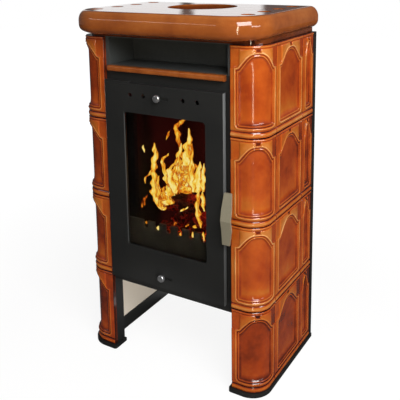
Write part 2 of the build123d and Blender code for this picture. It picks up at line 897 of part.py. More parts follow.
# ---------------------------------------------------------------------------
# Door
# ---------------------------------------------------------------------------
slide_levels = (upper_slide_z, lower_slide_z)
slot_length = slide_travel + slide_slot_height
rib_outer_x = door_half_width - rope_inset - rope_radius - rope_rib_gap
rib_z = (
    door_bottom + rope_inset + rope_radius + rope_rib_gap,
    door_top - rope_inset - rope_radius - rope_rib_gap,
)
with BuildPart() as door_plate:
    block(
        (-door_half_width, door_half_width),
        (door_front_y, door_back_y),
        (door_bottom, door_top),
    )
    block(
        (-door_half_width - door_hinge_lip, -door_half_width),
        (door_front_y, sheet_back_y),
        (door_bottom, door_top),
    )
    fillet(door_plate.faces().sort_by(Axis.Y)[0].edges(), door_corner_round)
    block(
        (-door_half_width + door_return, door_half_width - door_return),
        (sheet_back_y, door_back_y),
        (door_bottom + door_return, door_top - door_return),
        mode=Mode.SUBTRACT,
    )
    # rib that keeps the rope seal in its channel
    with BuildSketch(Plane.XZ.offset(-sheet_back_y)) as rib:
        with Locations((0, (rib_z[0] + rib_z[1]) / 2)):
            Rectangle(2 * rib_outer_x, rib_z[1] - rib_z[0])
        fillet(rib.vertices(), rope_corner - rope_radius - rope_rib_gap)
        offset(amount=-rope_rib, mode=Mode.SUBTRACT)
    extrude(amount=-(door_depth - door_sheet - rope_rib))
    # window
    with BuildSketch(Plane.XZ.offset(-sheet_back_y)) as window:
        with Locations((0, (window_bottom + window_top) / 2)):
            Rectangle(2 * window_half_width, window_top - window_bottom)
        fillet(window.vertices(), window_corner)
    extrude(amount=door_sheet, mode=Mode.SUBTRACT)
    # air holes in the top row
    for side in (-1, 1):
        for i in range(slide_hole_count):
            hole_x = side * (slide_hole_first + i * slide_hole_pitch)
            rod(
                (hole_x, door_front_y, upper_slide_z),
                slide_hole_radius,
                4 * door_sheet,
                axis="Y",
                mode=Mode.SUBTRACT,
            )
    # slots for the knobs, and the guides that hold the slides
    for level in slide_levels:
        with BuildSketch(Plane.XZ.offset(-sheet_back_y)):
            with Locations((0, level)):
                SlotOverall(slot_length, slide_slot_height)
        extrude(amount=door_sheet, mode=Mode.SUBTRACT)
        for up in (-1, 1):
            edge = level + up * (slide_height / 2 + slide_gap)
            guide_z = sorted((edge, edge + up * guide_thickness))
            lip_z = sorted((edge - up * guide_lap, edge + up * guide_thickness))
            lip_front = slide_back_y + slide_gap
            half = slide_half_length + slide_travel
            block((-half, half), (sheet_back_y, lip_front), guide_z)
            block((-half, half), (lip_front, lip_front + slide_thickness), lip_z)
    # bosses for the hinge pins in the two left corners
    boss_heights = (door_bottom + hinge_boss_height / 2, door_top - hinge_boss_height / 2)
    for height in boss_heights:
        rod((-hinge_x, hinge_y, height), hinge_boss_radius, hinge_boss_height)
        rod(
            (-hinge_x, hinge_y, height),
            hinge_pin_radius + running_gap,
            hinge_boss_height,
            mode=Mode.SUBTRACT,
        )
save(door_plate.part, "door_plate")

glass_half_width = window_half_width + glass_lap
glass_z = (window_bottom - glass_lap, window_top + glass_lap)
glass_y = (sheet_back_y, sheet_back_y + glass_thickness)
with BuildPart() as door_glass:
    block((-glass_half_width, glass_half_width), glass_y, glass_z)
save(door_glass.part, "door_glass")

retainer_y = (glass_y[1], glass_y[1] + retainer_thickness)
retainer_out = retainer_width - glass_lap
retainer_screw_z = (
    glass_z[0] - retainer_out / 2,
    (glass_z[0] + glass_z[1]) / 2,
    glass_z[1] + retainer_out / 2,
)
with BuildPart() as glass_retainers:
    block(
        (-glass_half_width - retainer_out, glass_half_width + retainer_out),
        (sheet_back_y, retainer_y[1]),
        (glass_z[0] - retainer_out, glass_z[1] + retainer_out),
    )
    block(
        (-glass_half_width, glass_half_width),
        glass_y,
        glass_z,
        mode=Mode.SUBTRACT,
    )
    block(
        (-window_half_width, window_half_width),
        retainer_y,
        (window_bottom, window_top),
        mode=Mode.SUBTRACT,
    )
save(glass_retainers.part, "glass_retainers")

with BuildPart() as retainer_screws:
    for side in (-1, 1):
        for height in retainer_screw_z:
            screw_x = side * (glass_half_width + retainer_out / 2)
            rod(
                (screw_x, retainer_y[1] + retainer_screw_radius / 2, height),
                retainer_screw_head,
                retainer_screw_radius,
                axis="Y",
            )
save(retainer_screws.part, "retainer_screws")

rope_half_width = door_half_width - rope_inset
rope_z = (door_bottom + rope_inset, door_top - rope_inset)
rope_y = sheet_back_y + rope_radius + rope_gap
with BuildPart() as rope_seal:
    with BuildLine(Plane.XZ.offset(-rope_y)) as rope_path:
        rope_line = FilletPolyline(
            (rope_half_width, rope_z[0]),
            (rope_half_width, rope_z[1]),
            (-rope_half_width, rope_z[1]),
            (-rope_half_width, rope_z[0]),
            radius=rope_corner,
            close=True,
        )
    with BuildSketch(Plane(origin=rope_line @ 0, z_dir=rope_line % 0)):
        Circle(rope_radius)
    sweep(path=rope_line)
save(rope_seal.part, "rope_seal")

# ---------------------------------------------------------------------------
# Air slides and their knobs
# ---------------------------------------------------------------------------
def air_slide(level, half_length, hole_places):
    """A sliding plate behind the door sheet, with holes at hole_places."""
    with BuildPart() as slide:
        block(
            (-half_length, half_length),
            (slide_front_y, slide_back_y),
            (level - slide_height / 2, level + slide_height / 2),
        )
        for place in hole_places:
            rod(
                (place, slide_front_y, level),
                slide_hole_radius,
                4 * slide_thickness,
                axis="Y",
                mode=Mode.SUBTRACT,
            )
    return slide.part


def slide_knob(level):
    """A turned knob, its stem passing through the slot to the slide."""
    head_front_y = door_front_y - knob_length
    head_back_y = door_front_y - knob_foot
    with BuildPart() as knob:
        head_middle = (slide_rest_x, (head_front_y + head_back_y) / 2, level)
        rod(head_middle, knob_radius, head_back_y - head_front_y, axis="Y")
        fillet(knob.edges().sort_by(Axis.Y)[0], knob_round)
        fillet(knob.edges().sort_by(Axis.Y)[-1], knob_round / 2)
        foot_back_y = door_front_y - slide_gap
        foot_middle = (slide_rest_x, (head_back_y + foot_back_y) / 2, level)
        rod(foot_middle, knob_foot_radius, foot_back_y - head_back_y, axis="Y")
        stem_middle = (slide_rest_x, (head_back_y + slide_front_y) / 2, level)
        rod(stem_middle, knob_stem_radius, slide_front_y - head_back_y, axis="Y")
    return knob.part


upper_holes = []
for side in (-1, 1):
    for i in range(slide_hole_count):
        upper_holes.append(side * (slide_hole_first + i * slide_hole_pitch))
save(air_slide(upper_slide_z, slide_half_length, upper_holes), "upper_air_slide")
save(slide_knob(upper_slide_z), "upper_air_knob")
save(air_slide(lower_slide_z, lower_slide_half_length, ()), "lower_air_slide")
save(slide_knob(lower_slide_z), "lower_air_knob")

# ---------------------------------------------------------------------------
# Hinge brackets with their pins, fixed to the front plate
# ---------------------------------------------------------------------------
hinge_plate_x = (-hinge_x - hinge_plate_end, -hinge_x - hinge_plate_end + hinge_plate_length)
with BuildPart() as hinge_brackets:
    for edge, up in ((door_bottom, -1), (door_top, 1)):
        plate_near = edge + up * slide_gap
        plate_far = plate_near + up * hinge_plate
        block(
            hinge_plate_x,
            (door_front_y + door_corner_round, plate_front_y),
            sorted((plate_near, plate_far)),
        )
        pin_end = edge - up * (hinge_boss_height - hinge_plate / 2)
        rod(
            (-hinge_x, hinge_y, (pin_end + plate_far) / 2),
            hinge_pin_radius,
            abs(plate_far - pin_end),
        )
save(hinge_brackets.part, "hinge_brackets")

# ---------------------------------------------------------------------------
# Door latch: lugs on the door, a hook on an upright pin, and the handle
# ---------------------------------------------------------------------------
with BuildPart() as latch_lugs:
    for up in (-1, 1):
        edge = latch_height + up * (latch_tube_height / 2 + slide_gap)
        lug_z = sorted((edge, edge + up * lug_thickness))
        block(
            (door_half_width, latch_x + latch_tube_radius),
            (latch_y - latch_tube_radius, latch_y + latch_tube_radius),
            lug_z,
        )
    rod(
        (latch_x, latch_y, latch_height),
        latch_pin_radius,
        latch_tube_height + 2 * slide_gap + 2 * lug_thickness,
    )
save(latch_lugs.part, "latch_lugs")

with BuildPart() as latch_hook:
    rod((latch_x, latch_y, latch_height), latch_tube_radius, latch_tube_height)
    hook_z = (latch_height - hook_height / 2, latch_height + hook_height / 2)
    shank_x = (latch_x - hook_thickness / 2, latch_x + hook_thickness / 2)
    block(shank_x, (latch_y, latch_y + hook_reach), hook_z)
    block(
        (shank_x[0] - hook_claw / 2, shank_x[1]),
        (latch_y + hook_reach - hook_thickness, latch_y + hook_reach),
        hook_z,
    )
    # pad that carries the handle
    pad_y = (face_y - hook_pad_proud, latch_y)
    pad_z = (latch_height - hook_height, latch_height + hook_height)
    block(shank_x, pad_y, pad_z)
    rod(
        (latch_x, latch_y, latch_height),
        latch_pin_radius + running_gap,
        latch_tube_height,
        mode=Mode.SUBTRACT,
    )
save(latch_hook.part, "latch_hook")

handle_middle_z = (handle_top + handle_bottom) / 2
with BuildPart() as door_handle:
    # side profile, bent outwards in the middle
    with BuildSketch(Plane.YZ.offset(handle_mid_x - handle_mid_width)):
        with BuildLine():
            Polyline(
                (face_y - handle_mid_proud, handle_middle_z),
                (face_y - handle_end_proud, handle_top),
                (face_y - handle_end_proud + handle_thickness, handle_top),
                (face_y - handle_mid_proud + handle_thickness, handle_middle_z),
                (face_y - handle_end_proud + handle_thickness, handle_bottom),
                (face_y - handle_end_proud, handle_bottom),
                close=True,
            )
        make_face()
    extrude(amount=2 * handle_mid_width)
    # front outline, widest in the middle
    with BuildSketch(Plane.XZ.offset(-face_y)):
        with BuildLine():
            Polyline(
                (handle_mid_x - handle_end_width / 2, handle_top),
                (handle_mid_x + handle_end_width / 2, handle_top),
                (handle_mid_x + handle_mid_width / 2, handle_middle_z + handle_flat),
                (handle_mid_x + handle_mid_width / 2, handle_middle_z - handle_flat),
                (handle_foot_x + handle_end_width / 2, handle_bottom),
                (handle_foot_x - handle_end_width / 2, handle_bottom),
                (handle_mid_x - handle_mid_width / 2, handle_middle_z - handle_flat),
                (handle_mid_x - handle_mid_width / 2, handle_middle_z + handle_flat),
                close=True,
            )
        make_face()
    extrude(amount=2 * handle_mid_proud, mode=Mode.INTERSECT)
    # arm from the handle to the latch tube
    block(
        (latch_x - hook_thickness / 2, latch_x + hook_thickness / 2),
        (face_y - handle_mid_proud + handle_thickness / 2, face_y - hook_pad_proud),
        (latch_height - hook_height, latch_height + hook_height),
    )
save(door_handle.part, "door_handle")

with BuildPart() as latch_striker:
    # plate let into the front plate's right stile, with a slot for the hook
    block((opening_half_width, post_inner_x), (plate_front_y, plate_back_y), latch_plate_z)
    block(
        (striker_x + striker_radius + striker_edge_gap, post_inner_x),
        (plate_front_y, plate_back_y),
        (latch_height - hook_slot_half, latch_height + hook_slot_half),
        mode=Mode.SUBTRACT,
    )
    # pin between two ears
    striker_y = face_y + striker_set_back
    for up in (-1, 1):
        edge = latch_height + up * striker_height / 2
        ear_z = sorted((edge, edge + up * steel))
        block(
            (striker_x - striker_radius - steel, striker_x + striker_radius),
            (plate_back_y, striker_y + striker_radius),
            ear_z,
        )
    rod((striker_x, striker_y, latch_height), striker_radius, striker_height)
save(latch_striker.part, "latch_striker")

# ---------------------------------------------------------------------------
# Frame screws
# ---------------------------------------------------------------------------
with BuildPart() as frame_screws:
    for side in (-1, 1):
        flange_inner_x = post_inner_x - steel
        for height in plate_screw_heights:
            y = plate_back_y + plate_flange / 2
            head_x = side * (flange_inner_x - screw_head_height / 2)
            rod((head_x, y, height), screw_head_radius, screw_head_height, axis="X")
            shank_x = side * (flange_inner_x + 1.5 * steel)
            rod((shank_x, y, height), screw_radius, 3 * steel, axis="X")
        screw_x = side * (wall_outer_x - 2 * rear_panel_margin)
        head_y = frame_back_y + rear_panel_thickness
        for height in rear_screw_heights:
            rod(
                (screw_x, head_y + screw_head_height / 2, height),
                screw_head_radius,
                screw_head_height,
                axis="Y",
            )
            rod((screw_x, head_y - 1.5 * steel, height), screw_radius, 3 * steel, axis="Y")
save(frame_screws.part, "frame_screws")
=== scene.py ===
import math

import bpy
import numpy as np
from mathutils import Matrix, Vector


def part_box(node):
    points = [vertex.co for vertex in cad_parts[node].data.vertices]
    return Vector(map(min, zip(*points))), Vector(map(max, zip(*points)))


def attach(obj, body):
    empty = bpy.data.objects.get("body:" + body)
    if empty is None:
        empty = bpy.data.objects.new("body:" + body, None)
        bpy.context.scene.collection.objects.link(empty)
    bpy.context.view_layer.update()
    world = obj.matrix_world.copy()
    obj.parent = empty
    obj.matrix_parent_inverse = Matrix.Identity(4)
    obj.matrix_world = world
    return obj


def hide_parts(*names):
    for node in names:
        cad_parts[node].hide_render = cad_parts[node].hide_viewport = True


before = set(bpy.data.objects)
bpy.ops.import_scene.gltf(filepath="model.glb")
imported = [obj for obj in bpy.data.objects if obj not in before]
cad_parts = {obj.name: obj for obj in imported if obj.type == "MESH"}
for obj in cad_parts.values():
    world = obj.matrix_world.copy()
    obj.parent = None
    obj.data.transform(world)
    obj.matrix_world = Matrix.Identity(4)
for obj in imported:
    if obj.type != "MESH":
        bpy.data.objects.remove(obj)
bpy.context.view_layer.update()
scene = bpy.context.scene
scene.view_settings.view_transform = "Standard"

# ----- Places shared with the part -----
MM = 0.001

# The slab, in metres
SLAB_TOP = 0.958
SLAB_BOTTOM = 0.899
NECK_BOTTOM = 0.889
SLAB_INNER = 0.24          # half the width that holds the flue hole and the vents
VENTS_FRONT_Y = -0.13
BELLY_DROP = 0.009         # how far the slab's widest line comes down

# The door, in metres
DOOR_RIGHT_X = 0.172
DOOR_BACK_Y = -0.138
WINDOW_HALF = 0.122
WINDOW_SILL = 0.334
WINDOW_HEAD = 0.698
WINDOW_EDGE_Y = -0.1455
EDGE_FADE = 0.0005

# The tiles, in millimetres
TILE_HEIGHT = 218.0
ROW_PITCH = 220.0
ROW_COUNT = 4
WALL_OUTER_X = 273.0
CORNER_RADIUS = 52.4
FRONT_LEG = 13.0
TILE_DEPTH = 41.0
TILE_RIM = 10.0
TILE_SKIN = 12.0
corner_low, corner_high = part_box("tile_row1_corner_right")
INNER_X = corner_low.x / MM
FACE_Y = corner_low.y / MM
CORNER_END = (corner_high.y - corner_low.y) / MM
FRONT_FLAT = WALL_OUTER_X - CORNER_RADIUS - INNER_X
ARC_LENGTH = CORNER_RADIUS * math.pi / 2
CORNER_WIDTH = FRONT_FLAT + ARC_LENGTH + CORNER_END - CORNER_RADIUS

# ----- Relief of a glazed tile, on its unrolled face -----
RING_SIDE = 13.0           # tile edge to the crest of the ring round the panel
RING_FOOT = 21.5
RING_CORNER = 10.0
ARCH_TOP = 201.0
ARCH_SHOULDER = 163.0
ARCH_SAG = 1.5
ARCH_FULLNESS = 1.35       # above 1, the arch is rounder at its top
LEAF_SIDE = 25.0           # tile edge to the leaf beside the arch
LEAF_TOP = 8.5             # tile top to the leaf
NOTCH_HALF = 5.5
NOTCH_FLARE = 5.0
NOTCH_DEPTH = 12.5         # tile top to the notch's narrowest place
RIM_FOOT = 7.2             # tile top to the groove under the top rim

# Heights below the tile's face, as (distance, height) stations
PANEL_STATIONS = (         # from the ring's crest inwards: groove, bead, cove and panel
    (0, 0), (1.2, -0.4), (3.8, -2.7), (5.4, -2.3), (7.0, -1.8),
    (8.3, -2.5), (10.5, -5.2), (13.0, -6.3), (17.0, -7.1), (24.0, -7.5),
)
FOOT_STATIONS = (          # up from the tile's lower edge: bead and groove
    (0, -2.8), (1.2, -1.3), (6, -0.2), (11, -1.5), (14, -3.2), (17.0, -1.6), (18.5, -1.4),
)
TOP_STATIONS = ((0, -2.8), (1.0, -1.5), (3.6, -0.7), (6.0, -1.8), (7.4, -2.7))
FLAT_LEVEL = -2.6          # beside the leaves
NOTCH_LEVEL = -3.0

# Glaze thickness, from 0 on a bare crest to 1 in a full groove
RING_GLAZE = ((0, 0.3), (3.8, 0.6), (7, 0.42), (9, 0.66))
FOOT_GLAZE = ((0, 0.6), (6, 0.16), (10, 0.3), (14, 0.9), (17, 0.4))
TOP_GLAZE = ((0, 0.75), (1.5, 0.45), (3.6, 0.28), (5.5, 0.55), (7.4, 0.6))
RIM_GLAZE = 0.39
NOTCH_GLAZE = 0.84
GROOVE_GLAZE = 0.85
FLAT_GLAZE = (0.44, 0.64)  # left and right of the arch

# How much darker each tile is drawn: partly each tile's own tone, and painted shade that makes
# the lowest course and the left wall darker, where less light falls
COURSE_SHADES_AND_TONES = (0.17, 0.04, 0.06, 0.0)      # from the floor up
LEFT_WALL_SHADE = 0.12
HALF_TONE = 0.08
TONE_SWING = 0.03

# Grid of the unrolled tile
GRID_FINE = 1.2
GRID_COARSE = 2.8
EDGE_ZONE = 27.1
NOTCH_ZONE = 14.4
FOOT_ZONE = 34.1
ARCH_ZONE = 15.0
ABOVE_ARCH = 4.0
TOP_ZONE = 9.6

# ----- Camera and setting -----
CAMERA_PLACE = (0.88217, -1.43316, 1.08671)
CAMERA_YAW = -31.03
CAMERA_PITCH = -10.45
CAMERA_ROLL = -0.82
CAMERA_LENS = 57.74
CAMERA_SHIFT = -0.3096
WHITE = (1.0, 1.0, 1.0, 1.0)
BACKDROP_SIDE = (-0.515, 0.857, 0.0)
BACKDROP_GAPS = ((-22.6, 2.5), (-32.1, 0.3), (-41.2, 0.8))   # compass middle, half width
ROOM_LIGHT = 0.22
ROOM_MIRRORED = 0.1
FLOOR_GLOW = (1.24, 1.45)  # near the stove and far off
FLOOR_SHOWN = 0.72


# ----- Small tools for meshes -----
def enter_mode(mode):
    """Go to edit mode or object mode."""
    bpy.ops.object.mode_set(mode=mode)


def select_all():
    """Select the whole mesh in edit mode."""
    bpy.ops.mesh.select_all(action="SELECT")


def fresh():
    """Leave edit mode and deselect everything before a new piece."""
    if bpy.context.object and bpy.context.object.mode == "EDIT":
        enter_mode("OBJECT")
    bpy.ops.object.select_all(action="DESELECT")


def points_of(mesh):
    """A mesh's points as rows of x, y, z."""
    places = np.zeros(len(mesh.vertices) * 3)
    mesh.vertices.foreach_get("co", places)
    return places.reshape(-1, 3)


def place_points(mesh, places):
    """Move a mesh's points to rows of x, y, z."""
    mesh.vertices.foreach_set("co", np.asarray(places, dtype=float).ravel())
    mesh.update()


def set_value(mesh, name, values):
    """Store one number per point under a name that a material can read."""
    layer = mesh.attributes.get(name) or mesh.attributes.new(name, "FLOAT", "POINT")
    layer.data.foreach_set("value", np.asarray(values, dtype=float).ravel())


def get_value(mesh, name):
    """The numbers stored per point under a name."""
    values = np.zeros(len(mesh.vertices))
    mesh.attributes[name].data.foreach_get("value", values)
    return values


def select_points(mesh, chosen):
    """Select these points of a mesh, and nothing else."""
    for items in (mesh.polygons, mesh.edges):
        items.foreach_set("select", np.zeros(len(items), dtype=bool))
    mesh.vertices.foreach_set("select", np.asarray(chosen, dtype=bool))


def named(name):
    """The new primitive, with its name."""
    piece = bpy.context.object
    piece.name = piece.data.name = name
    return piece


def pick(piece):
    """Select one piece and nothing else."""
    fresh()
    piece.select_set(True)
    bpy.context.view_layer.objects.active = piece


def smooth(piece, angle=40.0):
    """Shade a piece smooth except over sharp edges."""
    pick(piece)
    bpy.ops.object.shade_smooth_by_angle(angle=math.radians(angle))


def copy_piece(piece, name, offset, mirrored):
    """A copy with its own mesh, moved, and mirrored to the left wall if asked."""
    mesh = piece.data.copy()
    mesh.name = name
    if mirrored:
        mesh.transform(Matrix.Scale(-1, 4, Vector((1, 0, 0))))
        mesh.flip_normals()
    mesh.transform(Matrix.Translation(Vector(offset)))
    twin = bpy.data.objects.new(name, mesh)
    scene.collection.objects.link(twin)
    return twin


# ----- Small tools for materials -----
def colour(red, green, blue):
    """A screen colour from 0 to 255 as the linear colour that a shader takes."""
    linear = []
    for part in (red, green, blue):
        share = part / 255
        linear.append(share / 12.92 if share <= 0.04045 else ((share + 0.055) / 1.055) ** 2.4)
    return (*linear, 1.0)


def feed(tree, socket, value):
    """Link an output to a socket, or set the socket to a plain value."""
    if isinstance(value, bpy.types.NodeSocket):
        tree.links.new(value, socket)
    else:
        socket.default_value = value


def add(tree, kind, inputs=None, **settings):
    """A node with its settings, and its inputs set to values or linked to outputs."""
    made = tree.nodes.new(kind)
    for key, value in settings.items():
        setattr(made, key, value)
    for key, value in (inputs or {}).items():
        feed(tree, made.inputs[key], value)
    return made


def object_place(tree):
    """The Object coordinates, which are the stove's own metres."""
    return add(tree, "ShaderNodeTexCoord").outputs["Object"]


def new_material(name):
    """An empty material, its tree and the Object coordinates."""
    material = bpy.data.materials.new(name)
    material.use_nodes = True
    return material, material.node_tree, object_place(material.node_tree)


def finished(material, **values):
    """The material, with its Principled shader's sockets set or linked by name."""
    tree = material.node_tree
    for key, value in values.items():
        feed(tree, tree.nodes["Principled BSDF"].inputs[key.replace("_", " ")], value)
    return material


def math_node(tree, operation, first, second=0.0, clamp=False):
    """One sum of two values or outputs."""
    inputs = {0: first, 1: second}
    made = add(tree, "ShaderNodeMath", inputs, operation=operation, use_clamp=clamp)
    return made.outputs[0]


def times(tree, first, *others):
    """The product of two or more values or outputs."""
    for other in others:
        first = math_node(tree, "MULTIPLY", first, other)
    return first


def spread(tree, value, low, high, new_low=0.0, new_high=1.0):
    """A value carried from one range to another, and held at its ends."""
    inputs = {"Value": value, "From Min": low, "From Max": high}
    inputs.update({"To Min": new_low, "To Max": new_high})
    return add(tree, "ShaderNodeMapRange", inputs).outputs["Result"]


def ramp(tree, value, stops, tint_of=colour):
    """A colour ramp through (place, red, green, blue) stops in screen colours."""
    made = add(tree, "ShaderNodeValToRGB", {"Fac": value})
    band = made.color_ramp.elements
    band[0].position, band[0].color = stops[0][0], tint_of(*stops[0][1:])
    band[1].position, band[1].color = stops[-1][0], tint_of(*stops[-1][1:])
    for position, *tint in stops[1:-1]:
        band.new(position).color = tint_of(*tint)
    return made.outputs["Color"]


def grey(value):
    """A plain number as a colour."""
    return value, value, value, 1.0


def mix_colour(tree, share, first, second):
    """Two colours mixed by a share."""
    made = add(tree, "ShaderNodeMix", {0: share, 6: first, 7: second}, data_type="RGBA")
    return made.outputs[2]


def axes(tree, place):
    """The X, Y and Z outputs of a place."""
    return tuple(add(tree, "ShaderNodeSeparateXYZ", {"Vector": place}).outputs)


def stored(tree, name):
    """A number stored on each point of a mesh."""
    return add(tree, "ShaderNodeAttribute", attribute_name=name).outputs["Fac"]


def stretch(tree, place, *scale):
    """A place scaled along X, Y and Z, which draws a pattern out."""
    return add(tree, "ShaderNodeMapping", {"Vector": place, "Scale": scale}).outputs["Vector"]


def noise(tree, place, scale, detail=3.0, roughness=0.5, distortion=0.0):
    """A noise value at a scale in patches per metre."""
    inputs = {"Vector": place, "Scale": scale, "Detail": detail}
    inputs.update({"Roughness": roughness, "Distortion": distortion})
    return add(tree, "ShaderNodeTexNoise", inputs).outputs["Fac"]


def bump(tree, height, distance, strength=1.0):
    """A normal from a height in metres of relief."""
    inputs = {"Height": height, "Distance": distance, "Strength": strength}
    return add(tree, "ShaderNodeBump", inputs).outputs["Normal"]


def dress(material, *nodes):
    """Give CAD nodes a material in their slots."""
    for name in nodes:
        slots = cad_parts[name].data.materials
        slots.clear()
        slots.append(material)


# ----- Shared effects -----
def group_socket(group, name, kind, where, value=None):
    """A named socket on a node group."""
    socket = group.interface.new_socket(name=name, in_out=where, socket_type=kind)
    if value is not None:
        socket.default_value = value


def mottle_group():
    """Two sizes of soft noise mixed into one mask."""
    group = bpy.data.node_groups.new("mottle", "ShaderNodeTree")
    group_socket(group, "Vector", "NodeSocketVector", "INPUT")
    for name, value in (("Broad Scale", 8.0), ("Fine Scale", 60.0), ("Fine Share", 0.35)):
        group_socket(group, name, "NodeSocketFloat", "INPUT", value)
    group_socket(group, "Mask", "NodeSocketFloat", "OUTPUT")
    given = group.nodes.new("NodeGroupInput").outputs
    result = group.nodes.new("NodeGroupOutput")
    kept = math_node(group, "SUBTRACT", 1.0, given["Fine Share"])
    broad = times(group, noise(group, given["Vector"], given["Broad Scale"], 4.0), kept)
    fine = noise(group, given["Vector"], given["Fine Scale"], 6.0)
    fine = times(group, fine, given["Fine Share"])
    group.links.new(math_node(group, "ADD", broad, fine), result.inputs["Mask"])
    return group


MOTTLE = mottle_group()


def mottle(tree, place, broad, fine, share):
    """The mottle mask with its own scales."""
    inputs = {"Vector": place, "Broad Scale": broad, "Fine Scale": fine, "Fine Share": share}
    return add(tree, "ShaderNodeGroup", inputs, node_tree=MOTTLE).outputs["Mask"]


# ----- Finishes -----
GLAZE_STOPS = (
    (0.0, 246, 188, 124),
    (0.16, 214, 136, 68),
    (0.34, 196, 108, 36),
    (0.5, 188, 84, 26),
    (0.66, 162, 62, 20),
    (0.82, 108, 38, 16),
    (1.0, 48, 18, 10),
)
SLAB_STOPS = (
    (0.0, 226, 150, 90),
    (0.2, 190, 112, 52),
    (0.5, 158, 84, 34),
    (0.75, 120, 56, 24),
    (1.0, 62, 26, 14),
)
# glaze thickness up the slab, from the neck to the top face: thickest and darkest low down, which
# is painted shade under the slab's belly
SLAB_SHADE_AND_RISE = (
    (0.0, 0.9), (0.13, 0.7), (0.34, 0.56), (0.62, 0.48), (0.86, 0.46), (0.96, 0.34), (1.0, 0.6)
)


def glaze_finish(name, thickness_of, stops=GLAZE_STOPS, gloss=(0.10, 0.2)):
    """Amber glaze, pale where it runs thin on edges and dark where it pools."""
    material, tree, place = new_material(name)
    cloud = mottle(tree, place, 11.0, 70.0, 0.22)
    drift = spread(tree, cloud, 0.32, 0.68, -0.14, 0.14)
    thickness = math_node(tree, "ADD", thickness_of(tree, place), drift, clamp=True)
    specks = spread(tree, noise(tree, place, 900.0, 2.0), 0.70, 0.78, 0.0, 0.35)
    tint = mix_colour(tree, specks, ramp(tree, thickness, stops), colour(96, 34, 14))
    ripple = noise(tree, place, 26.0, 2.0)
    grain = noise(tree, place, 240.0)
    height = math_node(tree, "ADD", ripple, times(tree, grain, 0.12))
    return finished(
        material,
        Base_Color=tint,
        Roughness=spread(tree, grain, 0.3, 0.7, *gloss),
        Coat_Weight=0.35,
        Coat_Roughness=0.04,
        Normal=bump(tree, height, 0.0012, 0.6),
    )


def tile_thickness(tree, place):
    """The glaze thickness that the relief stores on each point, plus the tile's darkening: its
    own tone and painted shade.
    """
    return math_node(tree, "ADD", stored(tree, "glaze"), stored(tree, "shade_and_tone"))


def slab_thickness(tree, place):
    """Glaze on the slab: thin along its upper round, with painted shade that darkens its lower
    belly towards the neck and the inside of its holes.
    """
    x, y, z = axes(tree, place)
    # painted shade: the glaze is drawn thicker low on the belly, under the slab
    rise = ramp(tree, spread(tree, z, NECK_BOTTOM, SLAB_TOP), SLAB_SHADE_AND_RISE, grey)
    # painted shade: darker down inside the flue hole and the vents, below the top face
    inner = spread(tree, math_node(tree, "ABSOLUTE", x), SLAB_INNER + 0.002, SLAB_INNER)
    below = spread(tree, z, SLAB_TOP - 0.0012, SLAB_TOP - 0.004, 0.0, 0.36)
    behind = spread(tree, y, VENTS_FRONT_Y, VENTS_FRONT_Y + 0.005)
    return math_node(tree, "ADD", rise, times(tree, inner, below, behind))


def shelf_thickness(tree, place):
    """Glaze on the shelf edge, a little thin all over."""
    return spread(tree, noise(tree, place, 40.0, 2.0), 0.3, 0.7, 0.42, 0.58)


def lower_belly():
    """Bring the slab's widest line down a little: the real one is fuller below."""
    group = bpy.data.node_groups.new("slab_belly", "GeometryNodeTree")
    group_socket(group, "Geometry", "NodeSocketGeometry", "INPUT")
    group_socket(group, "Geometry", "NodeSocketGeometry", "OUTPUT")
    given = group.nodes.new("NodeGroupInput").outputs["Geometry"]
    result = group.nodes.new("NodeGroupOutput")
    level = axes(group, group.nodes.new("GeometryNodeInputPosition").outputs["Position"])[2]
    share = spread(group, level, SLAB_BOTTOM, SLAB_TOP, 0.0, math.pi)
    drop = times(group, math_node(group, "SINE", share), -BELLY_DROP)
    offset = add(group, "ShaderNodeCombineXYZ", {"Z": drop}).outputs["Vector"]
    moved = add(group, "GeometryNodeSetPosition", {"Geometry": given, "Offset": offset})
    group.links.new(moved.outputs["Geometry"], result.inputs["Geometry"])
    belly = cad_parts["top_slab"].modifiers.new("belly", "NODES")
    belly.node_group = group


def painted_edge_highlights(tree, place):
    """Painted highlight: a pale line down the door's right edge, brighter higher up, and a thin
    pale line down the window's left edge, where these edges catch the light.
    """
    x, y, z = axes(tree, place)
    on_edge = spread(tree, x, DOOR_RIGHT_X - 0.0012, DOOR_RIGHT_X)
    not_past = spread(tree, x, DOOR_RIGHT_X + 2 * EDGE_FADE, DOOR_RIGHT_X + EDGE_FADE)
    in_front = spread(tree, y, DOOR_BACK_Y, DOOR_BACK_Y - EDGE_FADE)
    upward = spread(tree, z, 0.2, 0.7, 0.15, 0.8)
    door_edge = times(tree, on_edge, in_front, upward, not_past)
    from_left = math_node(tree, "ABSOLUTE", math_node(tree, "ADD", x, WINDOW_HALF))
    line = spread(tree, from_left, 0.0004, 0.0009, 0.25, 0.0)
    above_sill = spread(tree, z, WINDOW_SILL - 0.001, WINDOW_SILL)
    under_head = spread(tree, z, WINDOW_HEAD + 0.001, WINDOW_HEAD)
    on_face = spread(tree, y, WINDOW_EDGE_Y, WINDOW_EDGE_Y - EDGE_FADE)
    window_edge = times(tree, line, above_sill, under_head, on_face)
    return math_node(tree, "ADD", door_edge, window_edge)


def black_paint(name, deep, light):
    """Matt black stove paint on steel, with a fine sprayed grain and painted highlights along the
    door's and window's edges.
    """
    material, tree, place = new_material(name)
    cloud = mottle(tree, place, 7.0, 160.0, 0.4)
    tint = mix_colour(tree, spread(tree, cloud, 0.35, 0.65), deep, light)
    # painted highlight: pale steel grey mixed in along the door's right edge and the window's
    # left edge
    tint = mix_colour(tree, painted_edge_highlights(tree, place), tint, colour(128, 131, 132))
    return finished(
        material,
        Base_Color=tint,
        Roughness=spread(tree, cloud, 0.3, 0.7, 0.5, 0.62),
        Normal=bump(tree, noise(tree, place, 2600.0, 2.0), 0.0002, 0.35),
    )


